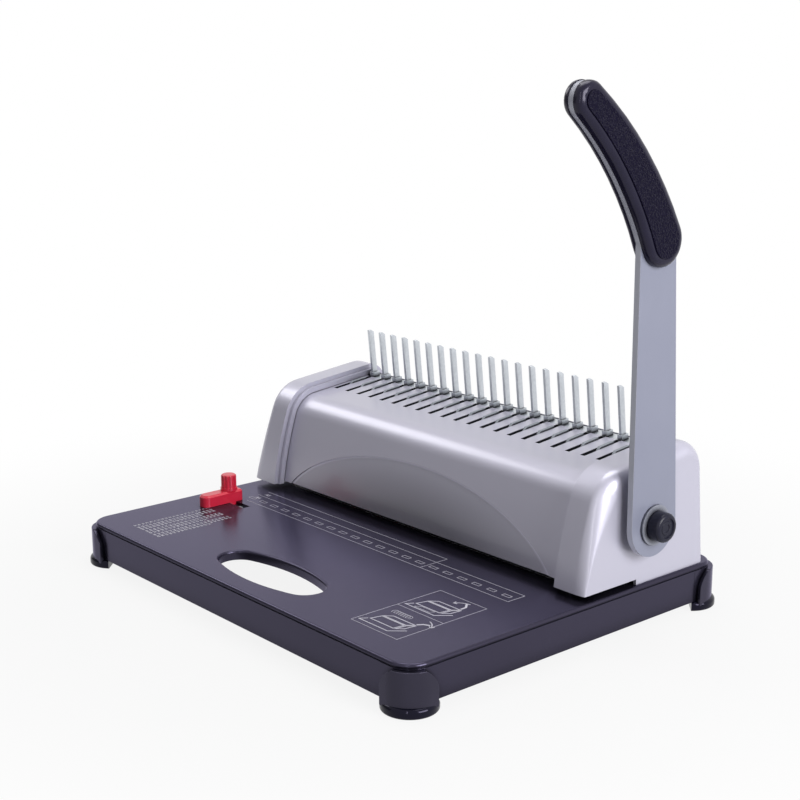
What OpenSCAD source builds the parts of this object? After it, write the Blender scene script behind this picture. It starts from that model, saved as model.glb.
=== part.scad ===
// Desk comb binding machine: a tray on four corner feet, a covered punch and comb opener behind it,
// a row of upright comb fingers, and one lever on the right that punches forward and opens backward.
// Millimetres, +Z up, +X to the lever's side, -Y to the user. The origin lies on the table under the tray.

/* [Tray] */
// Width of the tray, side to side
tray_w = 369; // [364:1:420]
// Depth of the tray, front to back
tray_d = 288; // [280:1:340]
// Height of the tray's top above the table
tray_top = 33; // [31:0.5:45]
// Height of the tray's side walls
tray_h = 26; // [24:0.5:30]
// Thickness of the tray's top plate
plate_t = 3; // [2:0.1:4]
// Thickness of the tray's side walls
tray_wall = 2.2; // [1.5:0.1:3]
// Radius of the tray's corners, seen from above
tray_corner = 16; // [13:0.5:20]
// Radius of the tray's rounded top edge
lip_r = 2; // [1:0.5:5]
// Depth of the groove under the tray's rounded edge
groove_d = 0.8; // [0.4:0.1:1]
// Length of the oval hand opening
oval_l = 106; // [80:1:130]
// Width of the oval hand opening
oval_w = 40; // [32:1:48]
// Radius of the oval's ends
oval_end_r = 14; // [10:0.5:15]
// Distance from the tray's front edge to the middle of the oval
oval_front = 37; // [32:0.5:45]
// Depth of the collar that hangs round the oval
oval_collar = 4; // [3:0.5:14]

/* [Feet] */
// Radius of a foot's corner post
foot_r = 15.6; // [13:0.2:16.4]
// Radius of a foot's flange on the table
flange_r = 17.5; // [17:0.5:20]
// Height of a foot's flange
flange_h = 5; // [3:0.5:6]
// How far a foot's middle sits in from the tray's edges
foot_inset = 13.5; // [12.5:0.5:15]

/* [Binding head] */
// Distance from the tray's rear edge to the lever shaft
shaft_back = 79.5; // [76:0.5:90]
// Height of the lever shaft above the tray
shaft_h = 44; // [43:0.5:46]
// Slope of the head's top, rising to the rear
tilt = 6.2; // [4:0.1:8]
// Height of the cover's top over the shaft, square to the slope
top_n = 32.1; // [31.5:0.1:34]
// Distance from the shaft forward to the cover's lower front edge
cover_reach = 47.2; // [45:0.1:52]
// Backward lean of the cover's front at its lower edge
front_lean = 8.4; // [6:0.1:10]
// Radius of the cover's bowed front
front_r = 300; // [250:5:400]
// Radius of the cover's shoulder
shoulder_r = 22; // [18:0.5:26]
// Distance from the shaft back to the rear cover
rear_reach = 58.5; // [57:0.5:62]
// Radius of the rear cover's top edge
rear_r = 8; // [5:0.5:12]
// Wall of the covers and end caps
cover_wall = 2.5; // [1.8:0.1:3]
// Height of the paper throat under the cover
throat_h = 6; // [5:0.1:7]
// How far the end caps stand out beyond the cover
cap_step = 8; // [6:0.5:10]
// How far the end caps stand out behind the rear cover
cap_rear_step = 3; // [3:0.1:6]
// How far an end cap's rear edge leans back from its top to the tray
cap_flare = 6; // [0:0.5:8]
// Length of an end cap along the machine
cap_len = 29.5; // [29:0.5:34]
// How far an end cap's face sits in from the tray's edge
cap_setback = 3; // [1:0.5:6]
// Rounding of an end cap's outer edge at its top
cap_round = 10; // [6:0.5:11]
// Half width of the oval that bounds the pressed field on the cover's front
arc_half = 153; // [140:1:165]
// Depth of that oval's middle below the tray's top
arc_low = 18; // [0:1:40]
// Height of that oval's crown above the tray
arc_crown = 50; // [40:1:54]
// Depth of the pressed field
arc_depth = 0.8; // [0.4:0.1:1.2]

/* [Comb row] */
// Number of fingers, punches and slots
count = 21; // [12:1:21]
// Distance from one finger to the next
pitch = 14.2875; // [13:0.0125:14.2875]
// Shift of the row from the middle, to the left
row_shift = -4; // [-4.5:0.5:0]
// Height of the fingers over their rail
finger_h = 40; // [30:0.5:50]
// Thickness of a finger along the row
finger_t = 2.2; // [1.6:0.1:2.6]
// Depth of a finger, front to back
finger_d = 5; // [3:0.1:6]
// Width of the slots in the cover
slot_w = 4; // [3.6:0.1:5]
// Length of a slot, front to back
slot_l = 38; // [36.5:0.5:40]
// Thickness of the opener's hooks
hook_t = 2.6; // [2:0.1:2.8]
// Length of the opener's hooks, front to back
hook_l = 17; // [12:0.5:18]
// Width of a punched hole
hole_w = 8; // [6:0.1:9]
// Depth of a punched hole, front to back
hole_d = 3; // [2:0.1:3.5]

/* [Lever] */
// Thickness of the lever's flat bar
lever_t = 4.5; // [3:0.1:6]
// Half width of the bar at the shaft
lever_r = 22; // [18:0.5:25]
// Gap between the right end cap and the bar
lever_gap = 5.5; // [3:0.5:8]
// Distance from the shaft up to the start of the grip
grip_up = 187.5; // [160:0.5:210]
// How far the start of the grip lies ahead of the shaft
grip_ahead = 5.5; // [0:0.5:12]
// Forward lean of the grip where it starts
grip_lean = 25.5; // [10:0.5:35]
// Bend of the grip from its start to its tip
grip_bend = 26.5; // [10:0.5:40]
// Radius of the grip's bend
grip_arc_r = 245; // [200:1:320]
// Half width of the grip at its start
grip_r0 = 17; // [15:0.5:20]
// Half width of the grip at its tip
grip_r1 = 12; // [10:0.1:14]
// Thickness of the outer grip shell
grip_outer_t = 6; // [5.5:0.5:12]
// Thickness of the inner grip shell
grip_inner_t = 5; // [5:0.5:11]

/* [Drive] */
// Diameter of the lever shaft
shaft_d = 14; // [12:0.5:14]
// Wall of the torque tube round the shaft
tube_wall = 1.5; // [1.2:0.1:1.6]
// Module of the gear teeth
gear_m = 1.5; // [1.4:0.05:1.5]
// Teeth on a punch pinion
punch_teeth = 16; // [15:1:16]
// Teeth on a full turn of an opener pinion
opener_teeth = 24; // [22:1:24]
// Turn of the lever for a punch
punch_turn = 60; // [50:1:60]
// Turn of the lever for opening a comb
bind_turn = 45; // [30:1:45]

/* [Edge guide] */
// Distance from the tray's left edge to the middle of the edge guide
guide_x = 31; // [27:0.5:36]
// Distance from the tray's front edge to the guide's slot
guide_front = 108; // [100:0.5:112]
// Length of the guide block
guide_l = 36; // [30:0.5:44]
// Width of the guide block
guide_w = 11.5; // [10:0.5:14]
// Height of the guide block
guide_h = 9; // [7:0.5:12]

/* [Chip drawer] */
// Width of the drawer, front to back
drawer_w = 38; // [30:0.5:38]
// Length of the drawer
drawer_l = 330; // [300:1:334]
// Wall of the drawer
drawer_wall = 1.6; // [1.2:0.1:2.4]

/* [Fits] */
// Clearance of turning fits, on the radius
run_gap = 0.06; // [0.03:0.01:0.1]
// Clearance of sliding fits, on each side
slide_gap = 0.15; // [0.1:0.01:0.25]
// Gap between neighbouring pieces that move apart
part_gap = 0.4; // [0.3:0.05:0.6]
// Backlash between meshing teeth
lash = 0.3; // [0.2:0.05:0.4]

/* [Hidden] */
$fn = 64;
FACETS = 32;
EPS = 0.01;
PRESSURE = 20;

// Colours
SILVER = [0.72, 0.71, 0.76];
STEEL = [0.78, 0.80, 0.83];
LEVER_GREY = [0.62, 0.63, 0.68];
BLACK = [0.09, 0.09, 0.11];
TRAY_BLACK = [0.15, 0.14, 0.17];
RED = [0.85, 0.05, 0.08];

// Heights and places that the rest follows
half_w = tray_w / 2;
half_d = tray_d / 2;
tray_bottom = tray_top - tray_h;
plate_bottom = tray_top - plate_t;
shaft_y = half_d - shaft_back;
shaft_z = tray_top + shaft_h;
cap_face = half_w - cap_setback;
cover_half = cap_face - cap_len;
throat_z = tray_top + throat_h;
throat_back = 4;
cut_reach = 60;

// Side frames stand just past the cover's ends, in the end caps
cover_overlap = 3.5;
cover_end = cover_half + cover_overlap;
frame_gap = 0.5;
frame_in = cover_end + frame_gap;
frame_t = 3;
frame_out = frame_in + frame_t;
frame_drop = 3.6;
frame_flange = 7;
frame_flange_end = 6;

// Screws and rods, by their distance behind the shaft
frame_screw_y = [for (s = [9, 43.5]) shaft_y + s];
cap_boss_y = [for (s = [15.5, 39.5]) shaft_y + s];
rod_y = [for (s = [15.5, 43.5]) shaft_y + s];

// The comb row: as many of its places as fit between the frames
die_end_wall = 1;
row_room = hole_w / 2 + die_end_wall;
row_fit = floor(2 * (frame_in - abs(row_shift) - row_room) / pitch) + 1;
places = min(count, row_fit);
row_x0 = row_shift - (places - 1) * pitch / 2;

// Shaft, bushes and tube
shaft_r = shaft_d / 2;
bore_r = shaft_r + run_gap;
tube_r = bore_r + tube_wall;
bush_r = shaft_r + 3;
bush_flange_r = bush_r + 3;
bush_flange_t = 3;
bush_out = frame_out + 3;
tube_end = frame_in - bush_flange_t - part_gap;
pin_r = 2;
pin_reach = tube_r - 0.1;
pin_side_gap = 0.3;
pin_half_angle = asin(pin_r / bore_r) + 2;

// Punch side of the drive
gear_w = 10;
punch_pinion_in = 27;
punch_pinion_x = cover_half - punch_pinion_in;
punch_pitch_r = gear_m * punch_teeth / 2;
punch_stroke = punch_pitch_r * punch_turn * PI / 180;
rack_tip = 0.8 * gear_m;
rack_foot = 1.25 * gear_m;
tooth_pitch = PI * gear_m;
rack_body = 4.6;
punch_rack_y = shaft_y - punch_pitch_r;
bar_back = punch_rack_y - rack_foot - rack_body;
bar_d = 12;
punch_y = bar_back - bar_d / 2;

// Die set: die below the paper, stop behind it, guide above it
paper_gap = 3.2;
guide_bar_h = 9.8;
guide_bottom = tray_top + paper_gap;
guide_top = guide_bottom + guide_bar_h;
bar_rest_gap = 1.4;
bar_bottom = guide_top + punch_stroke + bar_rest_gap;
bar_h = 12;
tongue_d = 8;
tongue_out = 0.5;
tip_lift = 0.8;
die_front = 13;
die_back = 16.8;
die_margin = 5.2;
die_h = 10;
die_x = cover_end - frame_gap;
stop_front = hole_d / 2 + 2.5;
die_screw_y = punch_y + 10;
die_screw_in = 12;
die_screw_mid = 50;
die_screw_x = [-die_x + die_screw_in, -die_screw_mid, die_screw_mid, die_x - die_screw_in];
die_screw_r = 2.5;
guide_bar_front = 10;
stack_rear = die_back - 1;

// Opener, in the sloped frame of the head
opener_pitch_r = gear_m * opener_teeth / 2;
opener_stroke = opener_pitch_r * bind_turn * PI / 180;
slot_front = 6;
slot_rear = slot_front + slot_l;
hook_front = slot_front + opener_stroke + part_gap;
plate_front = hook_front - 2;
plate_rear = hook_front + hook_l + 2.4;
opener_plate_t = 2;
opener_plate_n = 22;
hook_top = top_n + 1.2;
opener_in = bush_out + part_gap;
arm_t = 4;
arm_out = opener_in + arm_t;
hub_r = 12;
hub_out = arm_out + 6;
clutch_d = 4;
rack_depth = 6;
leg_front = opener_pitch_r + gear_m + opener_stroke + 1.2;
leg_rear = leg_front + 8;
sector_r = opener_pitch_r - 4;

// Finger rail, in the same sloped frame
rail_front = slot_rear + 0.5;
rail_rear = rail_front + 9.5;
rail_t = 3;
rail_bottom = top_n - frame_drop;
rail_top = rail_bottom + rail_t;
rail_skirt = 16;
rear_cover_front = rail_rear + 0.5;
rail_end_gap = 0.5;
finger_y = rail_front + 3.5;
finger_block = 4;
block_front = 0.8;
block_rear = 1.4;

// Lever stack along the shaft, to the right
lever_in = cap_face + lever_gap;
lever_out = lever_in + lever_t;
spacer_r = 11;
washer_r = 13.7;
washer_t = 2;
knob_r = 10;
knob_h = 9.5;
knob_stud_r = 5;
knob_stud = 5.5;
collar_t = 4;
collar_r = 11;

// Grip
grip_steps = 8;
grip_edge = 4;
pad_inset = 5.5;
pad_t = 0.8;
grip_screw_at = [0.12, 0.85];
grip_screw_r = 2;
grip_skin = 3;

// Edge guide under and over its slot
guide_at = [guide_x - half_w, guide_front - half_d, 0];
guide_corner = 3;
guide_nose = 4.8;
guide_slot_w = 6.4;
guide_slot_in = 23.5;
guide_slot_out = 18.5;
guide_tongue = 10;
guide_tail = 26;
guide_knob_r = 6;
guide_knob_h = 12.5;
guide_stud_r = 2.4;
clamp_t = 3;
clamp_w = 18;
clamp_d = 16;

// Chip drawer and its runners, under the die
drawer_y = punch_y + 4;
drawer_floor = tray_bottom + 1.5;
drawer_h = 13.5;
drawer_x0 = -half_w + 0.2;
runner_t = 3.2;
runner_ledge = 1.1;
runner_gap = 3.4;
runner_hold = 4;
drawer_gap = 0.1;
drawer_end_lip = 1;
runner_x0 = -half_w + tray_wall + 4;
runner_x1 = drawer_x0 + drawer_l - 2;

// Screws, bosses and tie rods
screw_r = 2;
screw_gap = 0.1;
screw_head_r = 4;
screw_head_h = 2.5;
screw_head_gap = 0.5;
die_screw_seat = guide_top - screw_head_h - 1;
small_screw = 0.85;
boss_r = 7;
boss_h = 2;
cap_boss_r = 4.5;
cap_boss_h = 10;
boss_rib = 2;
cap_boss_x = cap_face - 8.5;
rod_r = 5;
rod_z = tray_top + 11;
rod_stud_r = 3;
nut_r = 5;
nut_t = 2.8;
foot_top = plate_bottom - boss_h;
foot_gap = 0.25;
flange_proud = 0.8;
groove_h = 1.4;
foot_well_r = 5;
foot_well_h = 10;

// Points of an arc, from one angle to another
function arc(c, r, a0, a1, n) =
    [for (i = [0:n]) c + r * [cos(a0 + (a1 - a0) * i / n), sin(a0 + (a1 - a0) * i / n)]];

// An arc's points without its first, or without both ends, for an outline that already has them
function after(points) = [for (i = [1:len(points) - 1]) points[i]];
function inside(points) = [for (i = [1:len(points) - 2]) points[i]];

// A point of the head's sloped frame, given along and square to the slope, in the upright (y, z) frame
function sloped(u, n) =
    [shaft_y + u * cos(tilt) - n * sin(tilt), shaft_z + u * sin(tilt) + n * cos(tilt)];

// Outline of the head in (y, z): bowed front, shoulder, sloped top, rear edge and upright rear wall
function head_outline(front_c, r_front, r_shoulder, n_top, y_rear, r_rear, z_low, flare = 0) =
    let (d = front_c - [shaft_y, shaft_z],
         cu = d[0] * cos(tilt) + d[1] * sin(tilt),
         cn = d[1] * cos(tilt) - d[0] * sin(tilt),
         sn = n_top - r_shoulder,
         su = cu - sqrt(pow(r_front - r_shoulder, 2) - pow(sn - cn, 2)),
         shoulder_c = sloped(su, sn),
         turn = atan2(shoulder_c[1] - front_c[1], shoulder_c[0] - front_c[0]),
         low = 180 - asin((z_low - front_c[1]) / r_front),
         rear_y = y_rear - r_rear,
         rear_c = [rear_y, shaft_z + (n_top - r_rear + (rear_y - shaft_y) * sin(tilt)) / cos(tilt)])
    concat(arc(front_c, r_front, low, turn, 8), after(arc(shoulder_c, r_shoulder, turn, 90 + tilt, 14)),
           arc(rear_c, r_rear, 90 + tilt, 0, 12), [[y_rear + flare, z_low]]);

cover_front_y = shaft_y - cover_reach;
cover_front_c = [cover_front_y + front_r * cos(front_lean), throat_z - front_r * sin(front_lean)];

// The covers' outline, moved outward by g
function cover_outline(g, z_low) =
    head_outline(cover_front_c, front_r + g, shoulder_r + g, top_n + g, shaft_y + rear_reach + g,
                 rear_r + g, z_low);

// An end cap's outline, drawn in by g
cap_rear_r = 16;
function cap_outline(g) =
    head_outline(cover_front_c, front_r + cap_step - g, shoulder_r + cap_step - g, top_n + cap_step - g,
                 shaft_y + rear_reach + cap_rear_step - g, cap_rear_r - g, tray_top, cap_flare);

// An end cap's face, smaller than the cap all round and most at its top
face_front_r = 165;
face_lean = 15;
face_front_in = 2;
face_rear_in = 3.6;
face_rear_r = 12;
face_shoulder_r = 16;
face_front_c = [cover_front_y - cap_step + face_front_in + face_front_r * cos(face_lean),
                throat_z - face_front_r * sin(face_lean)];
function face_outline(g) =
    head_outline(face_front_c, face_front_r - g, face_shoulder_r - g, top_n + cap_step - cap_round - g,
                 shaft_y + rear_reach + cap_rear_step - face_rear_in - g, face_rear_r - g, tray_top,
                 cap_flare);

// Lays a (y, z) drawing out along x
module along_x(x0, x1) {
    translate([x0, 0, 0]) rotate([90, 0, 90]) linear_extrude(x1 - x0) children();
}

// Places a piece in the head's sloped frame, whose origin is on the shaft
module on_slope() {
    translate([0, shaft_y, shaft_z]) rotate([tilt, 0, 0]) children();
}

// Box from one corner to the other
module box(a, b) {
    translate(a) cube(b - a);
}

// Repeats a piece at every place of the comb row
module comb_row() {
    for (i = [0:places - 1]) translate([row_x0 + i * pitch, 0, 0]) children();
}

// Cylinder that lies along x
module rod_x(x0, x1, r) {
    translate([x0, 0, 0]) rotate([0, 90, 0]) cylinder(r = r, h = x1 - x0);
}

// Rectangle with round corners, centred
module round_rect(w, d, r) {
    translate([-w / 2 + r, -d / 2]) square([w - 2 * r, d]);
    translate([-w / 2, -d / 2 + r]) square([w, d - 2 * r]);
    for (x = [-1, 1], y = [-1, 1]) translate([x * (w / 2 - r), y * (d / 2 - r)]) circle(r);
}

// Oval of four arcs, grown by g: two long flat ones and two round ends
oval_end_x = oval_l / 2 - oval_end_r;
oval_side_r = (pow(oval_end_x, 2) + pow(oval_w / 2, 2) - pow(oval_end_r, 2)) / (oval_w - 2 * oval_end_r);
oval_side_y = oval_side_r - oval_w / 2;
module oval(g) {
    tangent_x = oval_end_x + (oval_end_r + g) * oval_end_x / (oval_side_r - oval_end_r);
    intersection() {
        translate([0, oval_side_y]) circle(oval_side_r + g);
        translate([0, -oval_side_y]) circle(oval_side_r + g);
        square([2 * tangent_x, oval_w * 2], center = true);
    }
    for (x = [-1, 1]) translate([x * oval_end_x, 0]) circle(oval_end_r + g);
}

module foot_places(x_sides, y_sides) {
    for (x = x_sides, y = y_sides)
        translate([x * (half_w - foot_inset), y * (half_d - foot_inset), 0]) children();
}

// Tray: a pressed pan, open below, with rounded rim
module tray_form() {
    hull() for (x = [-1, 1], y = [-1, 1])
        translate([x * (half_w - tray_corner), y * (half_d - tray_corner), 0]) {
            translate([0, 0, tray_bottom]) cylinder(r = tray_corner, h = tray_h - lip_r);
            for (a = [18:18:90]) translate([0, 0, tray_top - lip_r])
                cylinder(r = tray_corner - lip_r * (1 - cos(a)), h = lip_r * sin(a));
        }
}

module base_tray() {
    inner_r = tray_corner - tray_wall;
    oval_y = oval_front - half_d;
    color(TRAY_BLACK) difference() {
        union() {
            difference() {
                tray_form();
                translate([0, 0, tray_bottom - 1]) linear_extrude(tray_h - plate_t + 1)
                    round_rect(tray_w - 2 * tray_wall, tray_d - 2 * tray_wall, inner_r);
                foot_places([-1, 1], [-1, 1]) translate([0, 0, tray_bottom - 1])
                    cylinder(r = foot_r + foot_gap, h = foot_top + foot_gap - tray_bottom + 1);
            }
            foot_places([-1, 1], [-1, 1]) translate([0, 0, foot_top])
                cylinder(r = boss_r, h = boss_h + EPS);
            translate([0, oval_y, plate_bottom - oval_collar])
                linear_extrude(oval_collar + EPS) oval(tray_wall);
        }
        translate([0, oval_y, tray_bottom]) linear_extrude(tray_h + 1) oval(0);
        translate([0, 0, tray_top - lip_r - groove_h]) linear_extrude(groove_h) difference() {
            square([tray_w + 2, tray_d + 2], center = true);
            round_rect(tray_w - 2 * groove_d, tray_d - 2 * groove_d, tray_corner - groove_d);
        }
        // Guide slot, and the window that the die fills
        translate(guide_at)
            box([-guide_slot_out, -guide_slot_w / 2, plate_bottom - 1],
                [guide_slot_in, guide_slot_w / 2, tray_top + 1]);
        box([-die_x - slide_gap, punch_y - die_front - slide_gap, plate_bottom - 1],
            [die_x + slide_gap, punch_y + die_back + slide_gap, tray_top + 1]);
        // Way out for the drawer in the left wall
        translate([-half_w, drawer_y, 0])
            box([-1, -drawer_w / 2 - drawer_end_lip - part_gap, tray_bottom - 1],
                [tray_wall + 1, drawer_w / 2 + drawer_end_lip + part_gap, drawer_floor + drawer_h + 1]);
        // Screw holes
        foot_places([-1, 1], [-1, 1]) translate([0, 0, foot_top - 1])
            cylinder(r = screw_r + screw_gap, h = boss_h + plate_t);
        for (x = [-1, 1], y = cap_boss_y) translate([x * cap_boss_x, y, plate_bottom - 1])
            cylinder(r = screw_r + screw_gap, h = plate_t + 2);
        for (x = [-1, 1], y = frame_screw_y)
            translate([x * (frame_out + frame_flange / 2), y, plate_bottom - 1])
                cylinder(r = screw_r + screw_gap, h = plate_t + 2);
    }
}

// Foot: moulded corner post on a flange, cut back beside the tray's walls, with a deep screw well from below
module foot_form() {
    edge = 2;
    waist = 0.6;
    outline = concat([[screw_r + screw_gap, foot_well_h], [foot_well_r, foot_well_h], [foot_well_r, 0]],
        arc([flange_r - edge, edge], edge, -90, 0, 4),
        arc([flange_r - edge, flange_h - edge], edge, 0, 80, 4),
        [[foot_r, flange_h + waist]],
        arc([foot_r - edge, foot_top - edge], edge, 0, 90, 4),
        [[screw_r + screw_gap, foot_top]]);
    rotate_extrude() polygon(outline);
}
module foot(x, y) {
    color(BLACK) intersection() {
        foot_places([x], [y]) foot_form();
        union() {
            linear_extrude(flange_h + EPS)
                round_rect(tray_w + 2 * flange_proud, tray_d + 2 * flange_proud, tray_corner + flange_proud);
            translate([0, 0, flange_h]) linear_extrude(foot_top) round_rect(tray_w, tray_d, tray_corner);
        }
    }
}
module front_left_foot() { foot(-1, -1); }
module front_right_foot() { foot(1, -1); }
module rear_left_foot() { foot(-1, 1); }
module rear_right_foot() { foot(1, 1); }

// Pan head screw that points up from its seat at z = 0
module screw_up(l) {
    bevel = 1;
    rotate_extrude() polygon([[0, -screw_head_h], [screw_head_r - bevel, -screw_head_h],
        [screw_head_r, -bevel], [screw_head_r, 0], [screw_r, 0], [screw_r, l], [0, l]]);
}
module foot_screws() {
    color(STEEL) foot_places([-1, 1], [-1, 1]) translate([0, 0, foot_well_h])
        screw_up(plate_bottom + plate_t / 2 - foot_well_h);
}

// Main cover: one bent shell with the comb slots open at its rear edge and a pressed field on its front
module main_cover() {
    color(SILVER) difference() {
        intersection() {
            along_x(-cover_end, cover_end) difference() {
                polygon(cover_outline(0, throat_z));
                polygon(cover_outline(-cover_wall, throat_z - 1));
            }
            on_slope() box([-half_w, -half_d, -cut_reach], [half_w, slot_rear, cut_reach]);
        }
        on_slope() comb_row() box([-slot_w / 2, slot_front, top_n - 2 * cover_wall],
                                  [slot_w / 2, slot_rear + 1, top_n + cover_wall]);
        intersection() {
            along_x(-cover_half, cover_half) difference() {
                polygon(cover_outline(1, tray_top));
                polygon(cover_outline(-arc_depth, tray_top - 1));
            }
            translate([0, shaft_y - shoulder_r, tray_top - arc_low]) rotate([90, 0, 0])
                linear_extrude(cut_reach)
                    polygon([for (a = [0:2.5:180]) [arc_half * cos(a), (arc_low + arc_crown) * sin(a)]]);
        }
    }
}

module rear_cover() {
    color(SILVER) intersection() {
        along_x(-cover_end, cover_end) difference() {
            polygon(cover_outline(0, tray_top));
            polygon(cover_outline(-cover_wall, tray_top - 1));
        }
        box([-half_w, sloped(rear_cover_front, rail_bottom)[0], tray_top],
            [half_w, half_d, shaft_z + cut_reach]);
    }
}

// End cap: a low rim beside the cover, then it runs straight and rounds over to its flat face
function between(a, b, s) = [for (i = [0:len(a) - 1]) a[i] + (b[i] - a[i]) * s];
module cap_form(wall, x_low) {
    full = cap_outline(wall);
    face = face_outline(wall);
    hull() for (a = [0:15:90])
        along_x(x_low, cap_face - wall - cap_round * (1 - sin(a))) polygon(between(full, face, 1 - cos(a)));
}
module cap_shell() {
    lip = 5;
    rim_l = 3;
    rim_drop = cap_step * 0.45;
    notch_back = shaft_y - throat_back;
    notch_h = 4;
    difference() {
        union() {
            difference() {
                union() {
                    cap_form(0, cover_half + rim_l);
                    along_x(cover_half, cover_half + lip) polygon(cap_outline(rim_drop));
                }
                cap_form(cover_wall, cover_half + lip);
                along_x(cover_half - 1, cover_half + lip + 1)
                    polygon(cover_outline(part_gap, tray_top - 1));
            }
            for (y = cap_boss_y) {
                translate([cap_boss_x, y, tray_top]) cylinder(r = cap_boss_r, h = cap_boss_h);
                box([cap_boss_x, y - boss_rib / 2, tray_top],
                    [cap_face - cover_wall / 2, y + boss_rib / 2, tray_top + cap_boss_h]);
            }
        }
        // The paper throat runs on under the cap's front
        box([cover_half - 1, -half_d, tray_top - 1], [half_w, notch_back, tray_top + notch_h]);
        for (y = cap_boss_y) translate([cap_boss_x, y, tray_top - 1])
            cylinder(r = screw_r + screw_gap, h = cap_boss_h);
    }
}
module left_end_cap() { color(SILVER) mirror([1, 0, 0]) cap_shell(); }
module right_end_cap() {
    color(SILVER) difference() {
        cap_shell();
        translate([0, shaft_y, shaft_z]) rod_x(cap_face - cap_round, cap_face + 1, spacer_r + part_gap);
    }
}
module cap_screws() {
    color(STEEL) for (x = [-1, 1], y = cap_boss_y) translate([x * cap_boss_x, y, plate_bottom])
        screw_up(plate_t + cap_boss_h - 2);
}

// Side frame: steel plate with shaft hole, ways for the punch bar and the opener, and a foot flange
module frame_form() {
    along_x(frame_in, frame_out) difference() {
        polygon(cover_outline(-frame_drop, tray_top));
        translate([shaft_y, shaft_z]) circle(bush_r + run_gap);
        translate([-half_d, tray_top - 1]) square([half_d + shaft_y - throat_back, paper_gap + 1]);
        translate([punch_y - tongue_d / 2 - slide_gap, guide_top])
            square([tongue_d + 2 * slide_gap, bar_bottom + bar_h + 2 - guide_top]);
        translate([shaft_y, shaft_z]) rotate(tilt)
            translate([plate_front - opener_stroke - part_gap, opener_plate_n - slide_gap])
                square([plate_rear - plate_front + opener_stroke + 2 * part_gap,
                        opener_plate_t + 2 * slide_gap]);
        for (y = rod_y) translate([y, rod_z]) circle(rod_stud_r + run_gap);
    }
    difference() {
        box([frame_out - EPS, frame_screw_y[0] - frame_flange_end, tray_top],
            [frame_out + frame_flange, frame_screw_y[1] + frame_flange_end, tray_top + frame_t]);
        for (y = frame_screw_y) translate([frame_out + frame_flange / 2, y, tray_top - 1])
            cylinder(r = screw_r + screw_gap, h = frame_t + 2);
    }
}
module left_side_frame() { color(STEEL) mirror([1, 0, 0]) frame_form(); }
module right_side_frame() { color(STEEL) frame_form(); }
module frame_screws() {
    color(STEEL) for (x = [-1, 1], y = frame_screw_y)
        translate([x * (frame_out + frame_flange / 2), y, tray_top + frame_t]) mirror([0, 0, 1])
            scale(small_screw) screw_up((frame_t + plate_t - frame_gap) / small_screw);
}

// Tie rods hold the frames apart; their studs pass through and take nuts
module tie_rods() {
    color(STEEL) for (y = rod_y) translate([0, y, rod_z]) {
        rod_x(-frame_in, frame_in, rod_r);
        rod_x(-frame_out - nut_t, frame_out + nut_t, rod_stud_r);
    }
}
module tie_nuts() {
    color(STEEL) for (x = [0, 1], y = rod_y) mirror([x, 0, 0]) translate([0, y, rod_z]) difference() {
        translate([frame_out, 0, 0]) rotate([0, 90, 0]) cylinder(r = nut_r, h = nut_t, $fn = 6);
        rod_x(frame_out - 1, frame_out + nut_t + 1, rod_stud_r + run_gap);
    }
}

module punch_holes(z0, z1, gap) {
    comb_row() box([-hole_w / 2 - gap, punch_y - hole_d / 2 - gap, z0],
                   [hole_w / 2 + gap, punch_y + hole_d / 2 + gap, z1]);
}
module die_screw_holes(z0, z1) {
    for (x = die_screw_x) translate([x, die_screw_y, z0])
        cylinder(r = die_screw_r + screw_gap, h = z1 - z0);
}
module die_block() {
    color(STEEL) difference() {
        union() {
            box([-die_x, punch_y - die_front, plate_bottom - EPS], [die_x, punch_y + die_back, tray_top]);
            box([-die_x - die_margin, punch_y - die_front - die_margin, tray_top - die_h],
                [die_x + die_margin, punch_y + die_back + die_margin, plate_bottom]);
        }
        punch_holes(tray_top - die_h - 1, tray_top + 1, slide_gap);
        die_screw_holes(tray_top - die_h - 1, tray_top + 1);
    }
}
module paper_stop() {
    color(STEEL) difference() {
        box([-die_x, punch_y + stop_front, tray_top], [die_x, punch_y + stack_rear, guide_bottom]);
        die_screw_holes(tray_top - 1, guide_bottom + 1);
    }
}
module punch_guide() {
    color(STEEL) difference() {
        box([-frame_in + run_gap, punch_y - guide_bar_front, guide_bottom],
            [frame_in - run_gap, punch_y + stack_rear, guide_top]);
        punch_holes(guide_bottom - 1, guide_top + 1, slide_gap);
        die_screw_holes(guide_bottom - 1, guide_top + 1);
        for (x = die_screw_x) translate([x, die_screw_y, die_screw_seat])
            cylinder(r = screw_head_r + screw_head_gap, h = guide_top - die_screw_seat + 1);
    }
}
module die_screws() {
    low = tray_top - die_h + 1;
    color(STEEL) for (x = die_screw_x) translate([x, die_screw_y, 0]) {
        translate([0, 0, low]) cylinder(r = die_screw_r, h = die_screw_seat - low + EPS);
        translate([0, 0, die_screw_seat]) cylinder(r = screw_head_r, h = screw_head_h);
    }
}

// Finger rail: steel angle on the frames' top edges, with its skirt between them
module finger_rail() {
    color(STEEL) on_slope() {
        box([-frame_out + rail_end_gap, rail_front, rail_bottom],
            [frame_out - rail_end_gap, rail_rear, rail_top]);
        box([-frame_in + run_gap, rail_rear - rail_t, rail_bottom - rail_skirt],
            [frame_in - run_gap, rail_rear, rail_bottom + EPS]);
    }
}
module comb_fingers() {
    tip_rise = 2;
    front = finger_y - finger_d / 2;
    rear = finger_y + finger_d / 2;
    tip = rail_top + finger_h;
    color(STEEL) on_slope() comb_row() {
        along_x(-finger_t / 2, finger_t / 2) polygon([[front, rail_top], [rear, rail_top],
            [rear, tip - tip_rise], [finger_y, tip], [front, tip]]);
        box([-finger_t, front - block_front, rail_top],
            [finger_t, rear + block_rear, rail_top + finger_block]);
    }
}

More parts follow.
